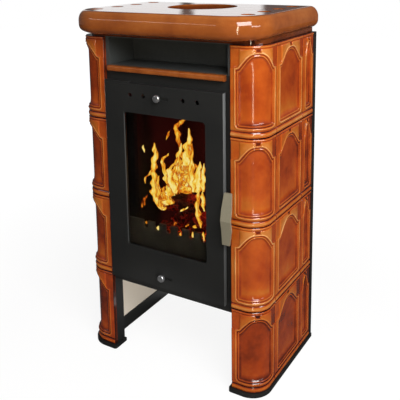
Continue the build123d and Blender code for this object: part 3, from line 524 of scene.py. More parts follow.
def cast_iron():
    """Grey iron, rougher than the painted sheet, with rust and ash on it."""
    material, tree, place = new_material("cast_iron")
    cloud = mottle(tree, place, 22.0, 320.0, 0.5)
    stops = ((0.3, 54, 54, 50), (0.55, 68, 67, 61), (0.72, 86, 76, 66))
    return finished(
        material,
        Base_Color=ramp(tree, cloud, stops),
        Metallic=0.2,
        Roughness=0.72,
        Specular_IOR_Level=0.2,
        Normal=bump(tree, cloud, 0.0012, 0.6),
    )


def firebrick():
    """Brown brick, blackened with soot towards the top."""
    material, tree, place = new_material("firebrick")
    cloud = mottle(tree, place, 12.0, 200.0, 0.45)
    clay = mix_colour(tree, cloud, colour(34, 25, 20), colour(46, 35, 28))
    level = math_node(tree, "ADD", spread(tree, axes(tree, place)[2], 0.33, 0.55), cloud)
    soot = spread(tree, level, 0.45, 1.05, 0.35, 0.97)
    return finished(
        material,
        Base_Color=mix_colour(tree, soot, clay, colour(16, 13, 12)),
        Roughness=0.92,
        Specular_IOR_Level=0.1,
        Normal=bump(tree, cloud, 0.0015, 0.7),
    )


def liner_board():
    """Cream heat board, seen low on the left under the firebox."""
    material, tree, place = new_material("liner_board")
    cloud = mottle(tree, place, 6.0, 260.0, 0.4)
    return finished(
        material,
        Base_Color=mix_colour(tree, cloud, colour(228, 214, 196), colour(240, 231, 217)),
        Roughness=0.85,
        Normal=bump(tree, cloud, 0.0005, 0.4),
    )


def glass_rope():
    """Grey braided rope that seals the door."""
    material, tree, place = new_material("glass_rope")
    inputs = {"Vector": place, "Scale": 90.0, "Distortion": 1.5, "Detail": 1.0}
    braid = add(tree, "ShaderNodeTexWave", inputs, bands_direction="DIAGONAL").outputs["Fac"]
    return finished(
        material,
        Base_Color=mix_colour(tree, braid, colour(62, 60, 57), colour(120, 116, 110)),
        Roughness=0.95,
        Normal=bump(tree, braid, 0.001, 0.8),
    )


def brushed_steel():
    """Satin stainless steel, brushed along the handle."""
    material, tree, place = new_material("brushed_steel")
    brush = noise(tree, stretch(tree, place, 1.0, 1.0, 0.03), 1400.0, 4.0, 0.6)
    return finished(
        material,
        Base_Color=mix_colour(tree, brush, colour(172, 165, 142), colour(206, 198, 172)),
        Metallic=0.55,
        Roughness=spread(tree, brush, 0.3, 0.7, 0.34, 0.5),
        Normal=bump(tree, brush, 0.0002, 0.5),
    )


def polished_steel():
    """Polished steel for the two knobs."""
    material, tree, place = new_material("polished_steel")
    cloud = noise(tree, place, 300.0)
    return finished(
        material,
        Base_Color=mix_colour(tree, cloud, colour(196, 197, 200), colour(222, 222, 224)),
        Metallic=0.9,
        Roughness=spread(tree, cloud, 0.3, 0.7, 0.16, 0.26),
    )


def zinc_steel():
    """Zinc plated screws."""
    material, tree, place = new_material("zinc_steel")
    cloud = noise(tree, place, 420.0, 4.0)
    return finished(
        material,
        Base_Color=mix_colour(tree, cloud, colour(140, 142, 146), colour(184, 186, 188)),
        Metallic=0.9,
        Roughness=0.42,
    )


def stove_glass():
    """Clear ceramic glass with a trace of soot."""
    material, tree, place = new_material("stove_glass")
    cloud = mottle(tree, place, 10.0, 120.0, 0.4)
    return finished(
        material,
        Base_Color=mix_colour(tree, cloud, colour(236, 230, 222), colour(250, 247, 243)),
        Roughness=0.02,
        IOR=1.12,
        Transmission_Weight=1.0,
    )


# ----- Glazed tiles -----
def arch_level(across, half_width):
    """Height of the bell arch's crest at a distance from the tile's middle."""
    share = np.clip(np.abs(across) / half_width, 0, 1)
    rise = (1 + np.cos(np.pi * share ** ARCH_FULLNESS)) / 2
    sag = np.clip(1 - np.abs(share - 0.84) / 0.16, 0, 1)
    return ARCH_SHOULDER + (ARCH_TOP - ARCH_SHOULDER) * rise - ARCH_SAG * sag ** 2


def arch_lean(across, half_width):
    """Cosine of the arch's slope at a distance from the tile's middle."""
    step = 0.5
    fall = arch_level(across + step, half_width) - arch_level(across - step, half_width)
    return 1 / np.sqrt(1 + (fall / (2 * step)) ** 2)


def tile_columns(width):
    """Places of the upright grid lines: close at the edges and round the notch."""
    edge = np.arange(0, EDGE_ZONE, GRID_FINE)
    middle = width / 2
    notch = np.arange(middle - NOTCH_ZONE, middle + NOTCH_ZONE + 0.1, GRID_FINE)
    if notch[0] - edge[-1] > 3:
        count = int((notch[0] - edge[-1]) / GRID_COARSE) + 1
        left = np.linspace(edge[-1], notch[0], count + 1)[1:-1]
        half = np.concatenate([edge, left, notch[notch < middle - 0.01]])
    else:
        half = np.arange(0, middle - GRID_FINE / 2, GRID_FINE)
    return np.concatenate([half, [middle], (width - half)[::-1]])


def tile_rows(columns, width):
    """Heights of the level grid lines on each column, following the arch."""
    across = columns - width / 2
    half_width = width / 2 - RING_SIDE
    arch = arch_level(across, half_width)
    lean = arch_lean(across, half_width)
    low = np.arange(0, FOOT_ZONE, 1.25)
    rows = [np.full_like(columns, level) for level in low]
    below = arch - ARCH_ZONE / lean
    for share in np.linspace(0, 1, 15)[1:-1]:
        rows.append(low[-1] + (below - low[-1]) * share)
    for offset in np.arange(ARCH_ZONE, -ABOVE_ARCH - 0.1, -1.0):
        rows.append(arch - offset / np.where(offset > 0, lean, 1.0))
    top_start = TILE_HEIGHT - TOP_ZONE
    above = arch + ABOVE_ARCH
    for share in np.linspace(0, 1, 10)[1:-1]:
        rows.append(above + (top_start - above) * share)
    for level in np.arange(top_start, TILE_HEIGHT + 0.01, GRID_FINE):
        rows.append(np.full_like(columns, min(level, TILE_HEIGHT)))
    return np.array(rows)


def soft_step(value, start, end):
    """0 before start, 1 after end, and smooth between."""
    share = np.clip((value - start) / (end - start), 0, 1)
    return share * share * (3 - 2 * share)


def mixed(first, second, share):
    """One number field turned into another by a share."""
    return first + (second - first) * share


def along_stations(places, stations):
    """The value at each place on a line through (place, value) stations."""
    return np.interp(places, *zip(*stations))


def tile_zones(u, v, width):
    """Where points lie: inside the ring, above the arch, and in the flats, notch and rim."""
    across = u - width / 2
    half_width = width / 2 - RING_SIDE
    above_arch = v - arch_level(across, half_width)
    # distance inside the ring, which has round lower corners
    side = half_width - np.abs(across)
    foot = v - RING_FOOT
    in_corner = (side < RING_CORNER) & (foot < RING_CORNER)
    round_off = RING_CORNER - np.hypot(RING_CORNER - side, RING_CORNER - foot)
    lower = np.where(in_corner, round_off, np.minimum(side, foot))
    inside = np.minimum(lower, -above_arch * arch_lean(across, half_width))
    in_flat = 1 - soft_step(np.minimum(u, width - u) - LEAF_SIDE, -0.8, 0.8)
    top = TILE_HEIGHT - v
    flare = NOTCH_FLARE * np.clip(np.abs(top - NOTCH_DEPTH) / 6.0, 0, 1.3) ** 2
    in_notch = 1 - soft_step(np.abs(across) - (NOTCH_HALF + flare), -0.9, 0.9)
    in_rim = 1 - soft_step(top, RIM_FOOT, LEAF_TOP + 0.6)
    return inside, above_arch, in_flat, in_notch, in_rim


def tile_depth(u, v, width, zones):
    """Height below the tile's face: panel and ring, rims, leaves, flats and notch."""
    inside, above_arch, in_flat, in_notch, in_rim = zones
    edge = np.minimum(u, width - u)
    panel = along_stations(inside, PANEL_STATIONS)
    ridge = -1.4 * (inside / 2.6) ** 2
    rim = np.maximum(ridge, along_stations(v, FOOT_STATIONS))
    pillow = -1.0 + 0.7 * soft_step(above_arch, 1, 16) - 0.5 * soft_step(above_arch, 20, 40)
    leaf = np.maximum(-1.3 * (np.maximum(-inside, 0) / 2.6) ** 2, pillow)
    upper = mixed(leaf, np.maximum(ridge, FLAT_LEVEL), in_flat)
    upper = mixed(upper, NOTCH_LEVEL, in_notch)
    upper = mixed(upper, along_stations(TILE_HEIGHT - v, TOP_STATIONS), in_rim)
    height = np.where(inside > 0, panel, np.where(above_arch > 0, upper, rim))
    return height - 1.5 * np.clip(1 - edge / 2.5, 0, 1) ** 2


def tile_glaze(u, v, width, zones):
    """Glaze thickness: thin on crests, thick in grooves, and on the panel thinner towards its
    foot, a painted reflection of light from above.
    """
    inside, above_arch, in_flat, in_notch, in_rim = zones
    edge = np.minimum(u, width - u)
    top = TILE_HEIGHT - v

    def band(centre, half):
        return np.exp(-((inside - centre) / half) ** 2)

    # painted reflection: the panel's glaze is drawn thinner, so paler and more golden, towards
    # its foot, where light from above shines on it
    body = 0.36 + 0.2 * soft_step(v, RING_FOOT + 8, RING_FOOT + 80)
    thick = along_stations(inside, RING_GLAZE)
    thick = np.where(inside > 9, mixed(0.66, body, soft_step(inside, 10.5, 15)), thick)
    thick = np.where(inside < 0, RIM_GLAZE, thick)
    at_rim = (above_arch <= 0) & (inside < 0) & (v < 20)
    thick = np.where(at_rim, along_stations(v, FOOT_GLAZE), thick)
    upper = 0.24 + 0.12 * soft_step(above_arch, 6, 30)
    upper = mixed(upper, np.where(u < width / 2, *FLAT_GLAZE), in_flat)
    upper = mixed(upper, NOTCH_GLAZE, in_notch)
    upper = mixed(upper, along_stations(top, TOP_GLAZE), in_rim)
    thick = np.where((above_arch > 0) & (inside < 0), upper, thick)
    thick = mixed(thick, 0.04, np.exp(-(inside / 1.4) ** 2))
    at_arch = soft_step(v, ARCH_SHOULDER - 16, ARCH_SHOULDER)
    at_foot = 1 - soft_step(v, RING_FOOT + 6, RING_FOOT + 16)
    groove = (0.12 + 0.7 * np.maximum(at_arch, at_foot)) * band(4.0, 1.3) * (inside > 0)
    thick = mixed(thick, GROOVE_GLAZE, groove)
    thick = mixed(thick, 0.16, 0.7 * band(7.0, 0.9))
    thick = mixed(thick, 0.75, np.clip(1 - edge / 1.6, 0, 1) ** 2)
    thick = mixed(thick, 0.95, np.clip(1 - np.minimum(v, top) / 1.2, 0, 1))
    return np.clip(thick, 0, 1)


def corner_place(u, height):
    """Plan position on the right wall's corner tile at a depth from its face."""
    turn = np.clip((u - FRONT_FLAT) / CORNER_RADIUS, 0, math.pi / 2)
    centre_x = WALL_OUTER_X - CORNER_RADIUS
    centre_y = FACE_Y + CORNER_RADIUS
    reach = CORNER_RADIUS + height
    x = centre_x + reach * np.sin(turn)
    y = centre_y - reach * np.cos(turn)
    past_arc = u - FRONT_FLAT - ARC_LENGTH
    x = np.where(u < FRONT_FLAT, INNER_X + u, x)
    y = np.where(past_arc > 0, centre_y + past_arc, y)
    return x, y


def corner_back(u):
    """Plan position on the corner tile's back, which turns square."""
    back_x = WALL_OUTER_X - TILE_DEPTH
    leg_y = FACE_Y + FRONT_LEG
    turns = [0, CORNER_WIDTH / 2, CORNER_WIDTH]
    x = np.interp(u, turns, [INNER_X, back_x, back_x])
    return x, np.interp(u, turns, [leg_y, leg_y, FACE_Y + CORNER_END])


def tile_grid(name, width):
    """A flat grid over the unrolled tile, its points set to the relief."""
    columns = tile_columns(width)
    levels = tile_rows(columns, width)
    fresh()
    bpy.ops.mesh.primitive_grid_add(
        x_subdivisions=len(columns) - 1, y_subdivisions=len(levels) - 1, size=2
    )
    piece = named(name)
    mesh = piece.data
    places = points_of(mesh)
    i = np.rint((places[:, 0] + 1) / 2 * (len(columns) - 1)).astype(int)
    j = np.rint((places[:, 1] + 1) / 2 * (len(levels) - 1)).astype(int)
    u, v = columns[i], levels[j, i]
    zones = tile_zones(u, v, width)
    set_value(mesh, "along", u)
    set_value(mesh, "up", v)
    set_value(mesh, "glaze", tile_glaze(u, v, width, zones))
    set_value(mesh, "depth", tile_depth(u, v, width, zones))
    return piece


def extrude_back(piece, place_back):
    """Pull the grid's border back to the tile's rear outline."""
    mesh = piece.data
    count = len(mesh.vertices)
    pick(piece)
    enter_mode("EDIT")
    bpy.ops.mesh.select_mode(type="EDGE")
    bpy.ops.mesh.select_all(action="DESELECT")
    bpy.ops.mesh.select_non_manifold()
    bpy.ops.mesh.extrude_region_move()
    enter_mode("OBJECT")
    places = points_of(mesh)
    new = np.arange(len(mesh.vertices)) >= count
    along, up = get_value(mesh, "along"), get_value(mesh, "up")
    places[new] = place_back(along[new], up[new])
    place_points(mesh, places)
    glaze = get_value(mesh, "glaze")
    glaze[new] = 0.6
    set_value(mesh, "glaze", glaze)
    return new


def cap_points(piece, chosen):
    """Close the rear opening through these points with one face."""
    select_points(piece.data, chosen)
    enter_mode("EDIT")
    bpy.ops.mesh.select_mode(type="VERT")
    bpy.ops.mesh.edge_face_add()
    enter_mode("OBJECT")


def hollow_cap():
    """Sink the new rear face inside a rim, as a flat tile is hollow behind."""
    enter_mode("EDIT")
    bpy.ops.mesh.select_mode(type="FACE")
    bpy.ops.mesh.inset(thickness=TILE_RIM * MM, use_even_offset=True)
    sink = ((TILE_DEPTH - TILE_SKIN) * MM, 0, 0)
    bpy.ops.mesh.extrude_region_move(TRANSFORM_OT_translate={"value": sink})
    select_all()
    bpy.ops.mesh.normals_make_consistent(inside=False)
    enter_mode("OBJECT")


def side_tile(name, node):
    """A flat tile of the right wall's lowest course."""
    low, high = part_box(node)
    start_y = low.y / MM
    base_z = low.z / MM
    width = (high.y - low.y) / MM
    piece = tile_grid(name, width)
    mesh = piece.data
    u, v = get_value(mesh, "along"), get_value(mesh, "up")
    x = WALL_OUTER_X + get_value(mesh, "depth")
    place_points(mesh, np.stack([x, start_y + u, base_z + v], 1) * MM)
    back_x = WALL_OUTER_X - TILE_DEPTH

    def place_back(along, up):
        return np.stack([np.full_like(along, back_x), start_y + along, base_z + up], 1) * MM

    new = extrude_back(piece, place_back)
    cap_points(piece, new)
    hollow_cap()
    smooth(piece)
    return piece


def corner_tile(name, node):
    """The right wall's lowest corner tile, bent round the wall's corner."""
    low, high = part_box(node)
    base_z = low.z / MM
    piece = tile_grid(name, CORNER_WIDTH)
    mesh = piece.data
    u, v = get_value(mesh, "along"), get_value(mesh, "up")
    x, y = corner_place(u, get_value(mesh, "depth"))
    place_points(mesh, np.stack([x, y, base_z + v], 1) * MM)

    def place_back(along, up):
        return np.stack([*corner_back(along), base_z + up], 1) * MM

    new = extrude_back(piece, place_back)
    past_turn = get_value(mesh, "along") - CORNER_WIDTH / 2
    up = get_value(mesh, "up")
    at_end = (up < 1) | (up > TILE_HEIGHT - 1)
    cap_points(piece, new & at_end & (np.abs(past_turn) < 0.01))
    cap_points(piece, new & (past_turn <= 0.01))
    cap_points(piece, new & (past_turn >= -0.01))
    pick(piece)
    enter_mode("EDIT")
    select_all()
    bpy.ops.mesh.normals_make_consistent(inside=False)
    enter_mode("OBJECT")
    smooth(piece)
    return piece


def tile_walls(glaze):
    """All the tiles: each shape is made once and copied to its rows and walls."""
    makers = {"corner": corner_tile, "full": side_tile, "half": side_tile}
    for shape, maker in makers.items():
        first = maker(f"glazed_{shape}_tile", f"tile_row1_{shape}_right")
        first.data.materials.append(glaze)
        for row in range(ROW_COUNT):
            for side in ("left", "right"):
                node = f"tile_row{row + 1}_{shape}_{side}"
                rise = (0, 0, row * ROW_PITCH * MM)
                piece = copy_piece(first, f"glazed_{node}", rise, side == "left")
                # painted shade: the lowest course and the left wall are drawn darker, where less
                # light falls
                shade_and_tone = COURSE_SHADES_AND_TONES[row] + TONE_SWING * math.sin(5 * row + len(shape))
                shade_and_tone += LEFT_WALL_SHADE * (side == "left") + HALF_TONE * (shape == "half")
                set_value(piece.data, "shade_and_tone", np.full(len(piece.data.vertices), shade_and_tone))
                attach(piece, "stove")
                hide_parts(node)
        bpy.data.objects.remove(first)


# ----- Firewood and fire -----
def charred_wood():
    """Charred split logs with embers glowing in their cracks."""
    material, tree, place = new_material("charred_wood")
    grain = noise(tree, stretch(tree, place, 1.0, 3.0, 3.0), 60.0, 6.0, 0.6)
    inputs = {"Vector": place, "Scale": 85.0}
    crack = add(tree, "ShaderNodeTexVoronoi", inputs, feature="DISTANCE_TO_EDGE")
    bark = ((0.3, 14, 10, 9), (0.52, 46, 24, 16), (0.7, 92, 52, 34))
    near_grate = spread(tree, axes(tree, place)[2], 0.31, 0.37, 1.0, 0.25)
    in_crack = spread(tree, crack.outputs["Distance"], 0.0, 0.12, 1.0, 0.0)
    hot = spread(tree, noise(tree, place, 28.0), 0.42, 0.62)
    embers = ((0.0, 0, 0, 0), (0.25, 120, 14, 4), (0.6, 255, 84, 12), (1.0, 255, 214, 120))
    return finished(
        material,
        Base_Color=ramp(tree, grain, bark),
        Roughness=0.95,
        Specular_IOR_Level=0.1,
        Emission_Color=ramp(tree, times(tree, in_crack, near_grate, hot), embers),
        Emission_Strength=1.0,
        Normal=bump(tree, grain, 0.004, 0.8),
    )


def split_log(name, centre, length, radius, turn, tilt, wood, seed):
    """A split log: a round billet with one flat face, its outline roughened a little."""
    fresh()
    bpy.ops.mesh.primitive_cylinder_add(
        vertices=28, radius=radius, depth=length, end_fill_type="NGON"
    )
    piece = named(name)
    enter_mode("EDIT")
    select_all()
    flat_face = {"plane_co": (radius * 0.42, 0, 0), "plane_no": (1, 0.25, 0)}
    bpy.ops.mesh.bisect(**flat_face, clear_outer=True, use_fill=True)
    for share in np.linspace(-0.45, 0.45, 13):
        select_all()
        bpy.ops.mesh.bisect(plane_co=(0, 0, share * length), plane_no=(0, 0, 1))
    enter_mode("OBJECT")
    mesh = piece.data
    places = points_of(mesh)
    angle = np.arctan2(places[:, 1], places[:, 0])
    along = places[:, 2] / length
    knots = 1 + 0.05 * np.sin(3 * angle + seed) + 0.035 * np.sin(7 * angle + 9 * along + seed)
    knots += 0.03 * np.sin(13 * along + 5 * angle + 2 * seed)
    places[:, :2] *= (knots * 0.94)[:, None]
    place_points(mesh, places)
    spin = Matrix.Rotation(math.radians(turn), 4, "Z") @ Matrix.Rotation(math.radians(90), 4, "Y")
    roll = Matrix.Rotation(math.radians(tilt), 4, "Z")
    mesh.transform(Matrix.Translation(Vector(centre)) @ spin @ roll)
    mesh.materials.append(wood)
    smooth(piece, 50)
    return piece


def firewood_stack(wood):
    """Four charred logs laid across each other on the grate, and one on top."""
    low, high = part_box("firewood")
    middle_y = (low.y + high.y) / 2
    lower_z = low.z + 0.0235
    upper_z = high.z - 0.0195
    laid = {
        # name: x, y, z, length, radius, turn, tilt, seed
        "log_front": (0, middle_y - 0.035, lower_z, 0.186, 0.0268, 5, 100, 1.0),
        "log_back": (0, middle_y + 0.035, lower_z, 0.186, 0.0268, -5, 60, 2.3),
        "log_left": (-0.035, middle_y, upper_z, 0.146, 0.0218, 95, 30, 3.1),
        "log_right": (0.035, middle_y, upper_z, 0.146, 0.0218, 85, 200, 4.4),
        "log_top": (-0.03, middle_y - 0.036, high.z + 0.024, 0.1, 0.026, 12, 20, 5.2),
    }
    for name, (x, y, z, length, radius, turn, tilt, seed) in laid.items():
        log = split_log(name, (x, y, z), length, radius, turn, tilt, wood, seed)
        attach(log, "stove")
        if name == "log_front":
            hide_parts("firewood")


def flame_look():
    """Fire: pale yellow at the heart, orange at the rims, clear beyond them."""
    material, tree, place = new_material("flame")
    lick = noise(tree, stretch(tree, place, 1.0, 1.0, 0.3), 70.0, 2.0, 0.55, 1.6)
    licks = spread(tree, lick, 0.32, 0.68, -0.36, 0.3)
    heat = math_node(tree, "ADD", times(tree, stored(tree, "flame_heart"), 0.88), licks)
    heat = math_node(tree, "SUBTRACT", heat, stored(tree, "flame_cool"))
    stops = (
        (0.0, 84, 14, 8),
        (0.22, 160, 58, 14),
        (0.4, 218, 118, 22),
        (0.56, 243, 180, 46),
        (0.76, 252, 220, 92),
        (1.0, 255, 238, 150),
    )
    return finished(
        material,
        Base_Color=colour(20, 8, 2),
        Roughness=1.0,
        Specular_IOR_Level=0.0,
        Emission_Color=ramp(tree, heat, stops),
        Emission_Strength=1.0,
        Alpha=spread(tree, heat, 0.1, 0.36),
    )


def flame(name, depth_y, cool, line, look):
    """One tongue of fire, from (x, z, half width) stations up its middle."""
    fresh()
    bpy.ops.mesh.primitive_uv_sphere_add(segments=20, ring_count=44, radius=1.0)
    piece = named(name)
    mesh = piece.data
    places = points_of(mesh)
    share = 1 - np.arccos(np.clip(places[:, 2], -1, 1)) / math.pi
    angle = np.arctan2(places[:, 1], places[:, 0])
    # the two poles stay in the middle, and the rest is swelled and swayed
    closing = np.where(np.hypot(places[:, 0], places[:, 1]) < 1e-4, 0.0, 1.0)
    steps = np.linspace(0, 1, len(line))
    centre_x, centre_z, half = (np.interp(share, steps, row) for row in zip(*line))
    phase = line[0][0]
    centre_x += half * 0.25 * np.sin(0.2 * centre_z + phase)
    half *= 1 + 0.2 * np.sin(0.26 * centre_z + phase)
    x = centre_x + half * np.cos(angle) * closing
    y = depth_y + FLAME_FLATNESS * half * np.sin(angle) * closing
    place_points(mesh, np.stack([x, y, centre_z], 1) * MM)
    set_value(mesh, "flame_heart", np.where(closing > 0, np.abs(np.sin(angle)), 0))
    set_value(mesh, "flame_cool", cool + 0.15 * share)
    mesh.materials.append(look)
    smooth(piece, 80)
    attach(piece, "stove")


FLAME_FLATNESS = 0.35      # depth by width
# Each tongue of fire and coal, in millimetres: its depth, how cool it is, and
# (x, z, half width) stations up its middle
FLAMES = {
    "flame_left": (-60, 0.0, (
        (-79, 407, 2), (-90, 432, 11), (-97, 456, 12), (-95, 486, 9), (-96, 514, 10),
        (-93, 543, 10), (-87, 567, 9), (-92, 586, 5), (-91, 597, 1))),
    "flame_left_inner": (-54, 0.05, (
        (-77, 404, 3), (-87, 419, 11), (-92, 440, 11), (-87, 463, 8), (-88, 484, 5),
        (-82, 503, 1))),
    "flame_spur": (-84, 0.2, (
        (-108, 484, 1), (-109, 494, 3), (-104, 504, 4), (-94, 513, 5), (-88, 526, 1))),
    "flame_foot": (-46, -0.1, (
        (-78, 399, 3), (-73, 414, 15), (-66, 433, 22), (-61, 452, 19), (-58, 467, 11),
        (-61, 476, 1))),
    "flame_middle": (-30, -0.25, (
        (-55, 435, 4), (-55, 454, 13), (-57, 471, 17), (-67, 490, 16), (-69, 507, 14),
        (-59, 520, 6), (-52, 530, 1))),
    "flame_curl": (-36, 0.05, (
        (-67, 468, 3), (-72, 494, 7), (-77, 519, 7), (-85, 535, 6), (-78, 548, 6),
        (-66, 557, 4), (-62, 564, 1))),
    "flame_bridge": (-32, 0.1, (
        (-67, 510, 2), (-56, 527, 5), (-43, 538, 5), (-38, 547, 4), (-34, 558, 1))),
    "flame_gap": (-26, -0.05, (
        (-46, 446, 3), (-45, 476, 10), (-47, 499, 9), (-44, 516, 5), (-41, 530, 1))),
    "flame_tall": (-16, -0.08, (
        (-37, 447, 4), (-38, 470, 14), (-40, 495, 14), (-42, 520, 12), (-43, 545, 9),
        (-40, 562, 8), (-35, 576, 6), (-32, 593, 1))),
    "flame_peak": (-8, -0.05, (
        (-24, 448, 4), (-25, 470, 13), (-24, 499, 14), (-24, 528, 16), (-21, 553, 18),
        (-17, 577, 15), (-14, 595, 10), (-9, 610, 6), (-12, 623, 4), (-13, 635, 1))),
    "flame_shoulder": (-18, 0.05, (
        (-6, 453, 3), (-6, 484, 9), (-4, 511, 9), (-1, 538, 6), (2, 563, 5), (3, 581, 4),
        (3, 598, 1))),
    "flame_hook": (-24, 0.34, (
        (-34, 579, 4), (-35, 600, 8), (-39, 617, 9), (-42, 632, 10), (-36, 647, 10),
        (-24, 657, 11), (-11, 663, 8), (1, 667, 1))),
    "flame_flick": (-34, 0.42, ((-70, 600, 1), (-66, 610, 4), (-60, 620, 6), (-54, 631, 1))),
    "flame_right_inner": (-22, -0.05, (
        (8, 459, 4), (7, 480, 10), (6, 505, 11), (6, 524, 7), (9, 543, 1))),
    "flame_right": (-28, -0.15, (
        (25, 462, 5), (27, 486, 14), (28, 509, 14), (30, 526, 10), (32, 541, 5), (34, 553, 1))),
    "flame_right_edge": (-34, -0.1, (
        (45, 470, 4), (45, 498, 9), (46, 522, 8), (48, 540, 4), (50, 552, 1))),
    "flame_stream": (-90, 0.0, (
        (71, 395, 2), (67, 412, 6), (62, 433, 8), (60, 457, 7), (63, 478, 7), (67, 499, 1))),
    "flame_stream_edge": (-74, 0.0, ((72, 436, 2), (69, 453, 6), (68, 473, 7), (67, 490, 1))),
    "flame_red": (-90, 0.5, ((-121, 409, 2), (-115, 425, 8), (-107, 442, 9), (-97, 458, 1))),
    "spark": (-100, -0.2, ((-96, 578, 1), (-98, 586, 4), (-100, 592, 3), (-98, 599, 1))),
    "line_left": (-50, 0.0, ((-18, 409, 1), (-13, 414, 5), (-9, 417, 4), (-5, 421, 1))),
    "line_right": (-50, 0.0, ((-3, 417, 1), (1, 421, 4), (4, 424, 3), (6, 428, 1))),
    "coal_left": (-76, 0.3, ((-22, 379, 1), (-17, 384, 6), (-17, 388, 4), (-22, 390, 1))),
    "coal_middle": (-78, 0.3, ((17, 383, 1), (20, 387, 6), (23, 390, 5), (23, 394, 1))),
    "coal_right": (-82, 0.1, ((45, 387, 1), (48, 390, 7), (49, 394, 5), (50, 397, 1))),
    "ember_first": (-98, 0.4, ((-97, 375, 1), (-97, 378, 4), (-97, 381, 3), (-97, 384, 1))),
    "ember_second": (-98, -0.2, ((-58, 363, 1), (-58, 368, 6), (-58, 372, 5), (-57, 378, 1))),
    "ember_third": (-98, 0.45, ((-24, 370, 1), (-23, 373, 2), (-24, 377, 2), (-24, 382, 1))),
    "ember_fourth": (-98, 0.2, ((13, 361, 1), (13, 365, 4), (13, 370, 4), (13, 374, 1))),
    "ember_fifth": (-98, 0.0, ((51, 368, 1), (51, 373, 5), (50, 378, 5), (50, 384, 1))),
    "ember_last": (-98, 0.0, ((84, 366, 1), (84, 372, 3), (83, 383, 4), (83, 391, 1))),
    "flame_body_left": (-48, 0.42, (
        (-81, 399, 3), (-80, 415, 17), (-77, 437, 25), (-71, 457, 23), (-62, 473, 14),
        (-58, 484, 1))),
    "flame_body": (-4, 0.4, (
        (-22, 443, 12), (-22, 455, 48), (-21, 477, 53), (-23, 498, 51), (-20, 516, 40),
        (-18, 535, 19), (-18, 549, 12), (-17, 563, 1))),
    "flame_body_middle": (-20, 0.32, (
        (-49, 435, 6), (-49, 452, 18), (-48, 473, 26), (-48, 495, 24), (-46, 514, 18),
        (-42, 528, 8), (-40, 540, 1))),
}


# ----- Camera, lights and setting -----
def direction(compass, elevation):
    """A direction from its compass bearing, with +Y as north, and its angle upwards."""
    around, over = math.radians(compass), math.radians(elevation)
    flat = math.cos(over)
    return Vector((math.sin(around) * flat, math.cos(around) * flat, math.sin(over)))


def make_camera():
    """The camera at the photograph's viewing angle."""
    camera = bpy.data.objects.new("camera", bpy.data.cameras.new("camera"))
    ahead = direction(CAMERA_YAW, CAMERA_PITCH)
    level = direction(CAMERA_YAW + 90, 0)
    roll = math.radians(CAMERA_ROLL)
    right = level * math.cos(roll) + level.cross(ahead) * math.sin(roll)
    turn = Matrix((right, right.cross(ahead), -ahead)).transposed()
    camera.matrix_world = Matrix.Translation(Vector(CAMERA_PLACE)) @ turn.to_4x4()
    camera.data.sensor_width = 36
    camera.data.lens = CAMERA_LENS
    camera.data.shift_y = CAMERA_SHIFT
    scene.collection.objects.link(camera)
    scene.camera = camera


def new_lamp(name, kind, place, watts):
    """A lamp of one kind at a place."""
    lamp = bpy.data.objects.new(name, bpy.data.lights.new(name, kind))
    lamp.location = place
    lamp.data.energy = watts
    scene.collection.objects.link(lamp)
    return lamp


def aim_lamp(lamp, target):
    """Turn a lamp towards a place."""
    away = lamp.location - Vector(target)
    lamp.rotation_euler = away.to_track_quat("Z", "Y").to_euler()


def area_light(name, azimuth, elevation, distance, size, watts, aim, tint=(1, 1, 1)):
    """A soft light round the stove, its azimuth measured from the front to the right."""
    place = Vector(aim) + direction(180 - azimuth, elevation) * distance
    lamp = new_lamp(name, "AREA", place, watts)
    aim_lamp(lamp, aim)
    lamp.data.shape = "RECTANGLE"
    lamp.data.size, lamp.data.size_y = size
    lamp.data.color = tint


def make_lights():
    """Soft studio light from the camera's side, a thin strip, low fills and the fire."""
    area_light("key_light", 52, 30, 1.9, (1.1, 0.8), 31.5, (0, 0, 0.8))
    area_light("side_light", 80, 6, 2.4, (1.0, 0.2), 7, (0, 0, 0.93))
    area_light("strip_light", 31, 4, 2.4, (0.05, 1.6), 9, (0.1, 0, 0.45), (1.0, 0.86, 0.62))
    area_light("left_fill", -38, 15, 3.0, (1.6, 0.1), 2, (0, 0, 0.9))
    board = new_lamp("board_light", "SPOT", (0.74, -0.75, 0.15), 25)
    aim_lamp(board, (-0.18, 0.02, 0.14))
    board.data.spot_size = math.radians(20)
    board.data.spot_blend = 0.8
    board.data.shadow_soft_size = 0.03
    glow = new_lamp("fire_glow", "POINT", (0.075, 0.03, 0.55), 5)
    glow.data.shadow_soft_size = 0.02
    glow.data.color = (1.0, 0.1, 0.1)
    glow.visible_transmission = False
    glow.visible_glossy = False


def backdrop_share(tree, place):
    """Share of the white backdrop, which stands across the stove from the camera."""
    heading = add(tree, "ShaderNodeVectorMath", {0: place}, operation="NORMALIZE").outputs[0]
    inputs = {0: heading, 1: BACKDROP_SIDE}
    toward = add(tree, "ShaderNodeVectorMath", inputs, operation="DOT_PRODUCT")
    return spread(tree, toward.outputs["Value"], 0.9, 0.97)


def between_gaps(tree, toward):
    """1 on the backdrop's panels and 0 in the gaps between them, by compass direction."""
    x, y, _ = axes(tree, toward)
    heading = math_node(tree, "ARCTAN2", x, y)
    panels = 1.0
    for middle, half in BACKDROP_GAPS:
        off = math_node(tree, "SUBTRACT", heading, math.radians(middle))
        off = math_node(tree, "ABSOLUTE", off)
        clear = spread(tree, off, math.radians(half), math.radians(half + 0.5))
        panels = times(tree, panels, clear)
    return panels


def shown_white(tree, path, mirrored):
    """Rays that see plain white: the camera's, those straight through glass, and mirrored
    ones, but none that have met a matt surface, so the backdrop lights nothing."""
    plain = math_node(tree, "SUBTRACT", 1.0, path["Glossy Depth"], clamp=True)
    seen_through = times(tree, path["Is Transmission Ray"], plain)
    shown = math_node(tree, "MAXIMUM", path["Is Camera Ray"], mirrored)
    shown = math_node(tree, "MAXIMUM", shown, seen_through)
    first_look = math_node(tree, "SUBTRACT", 1.0, path["Diffuse Depth"], clamp=True)
    return times(tree, shown, first_look)


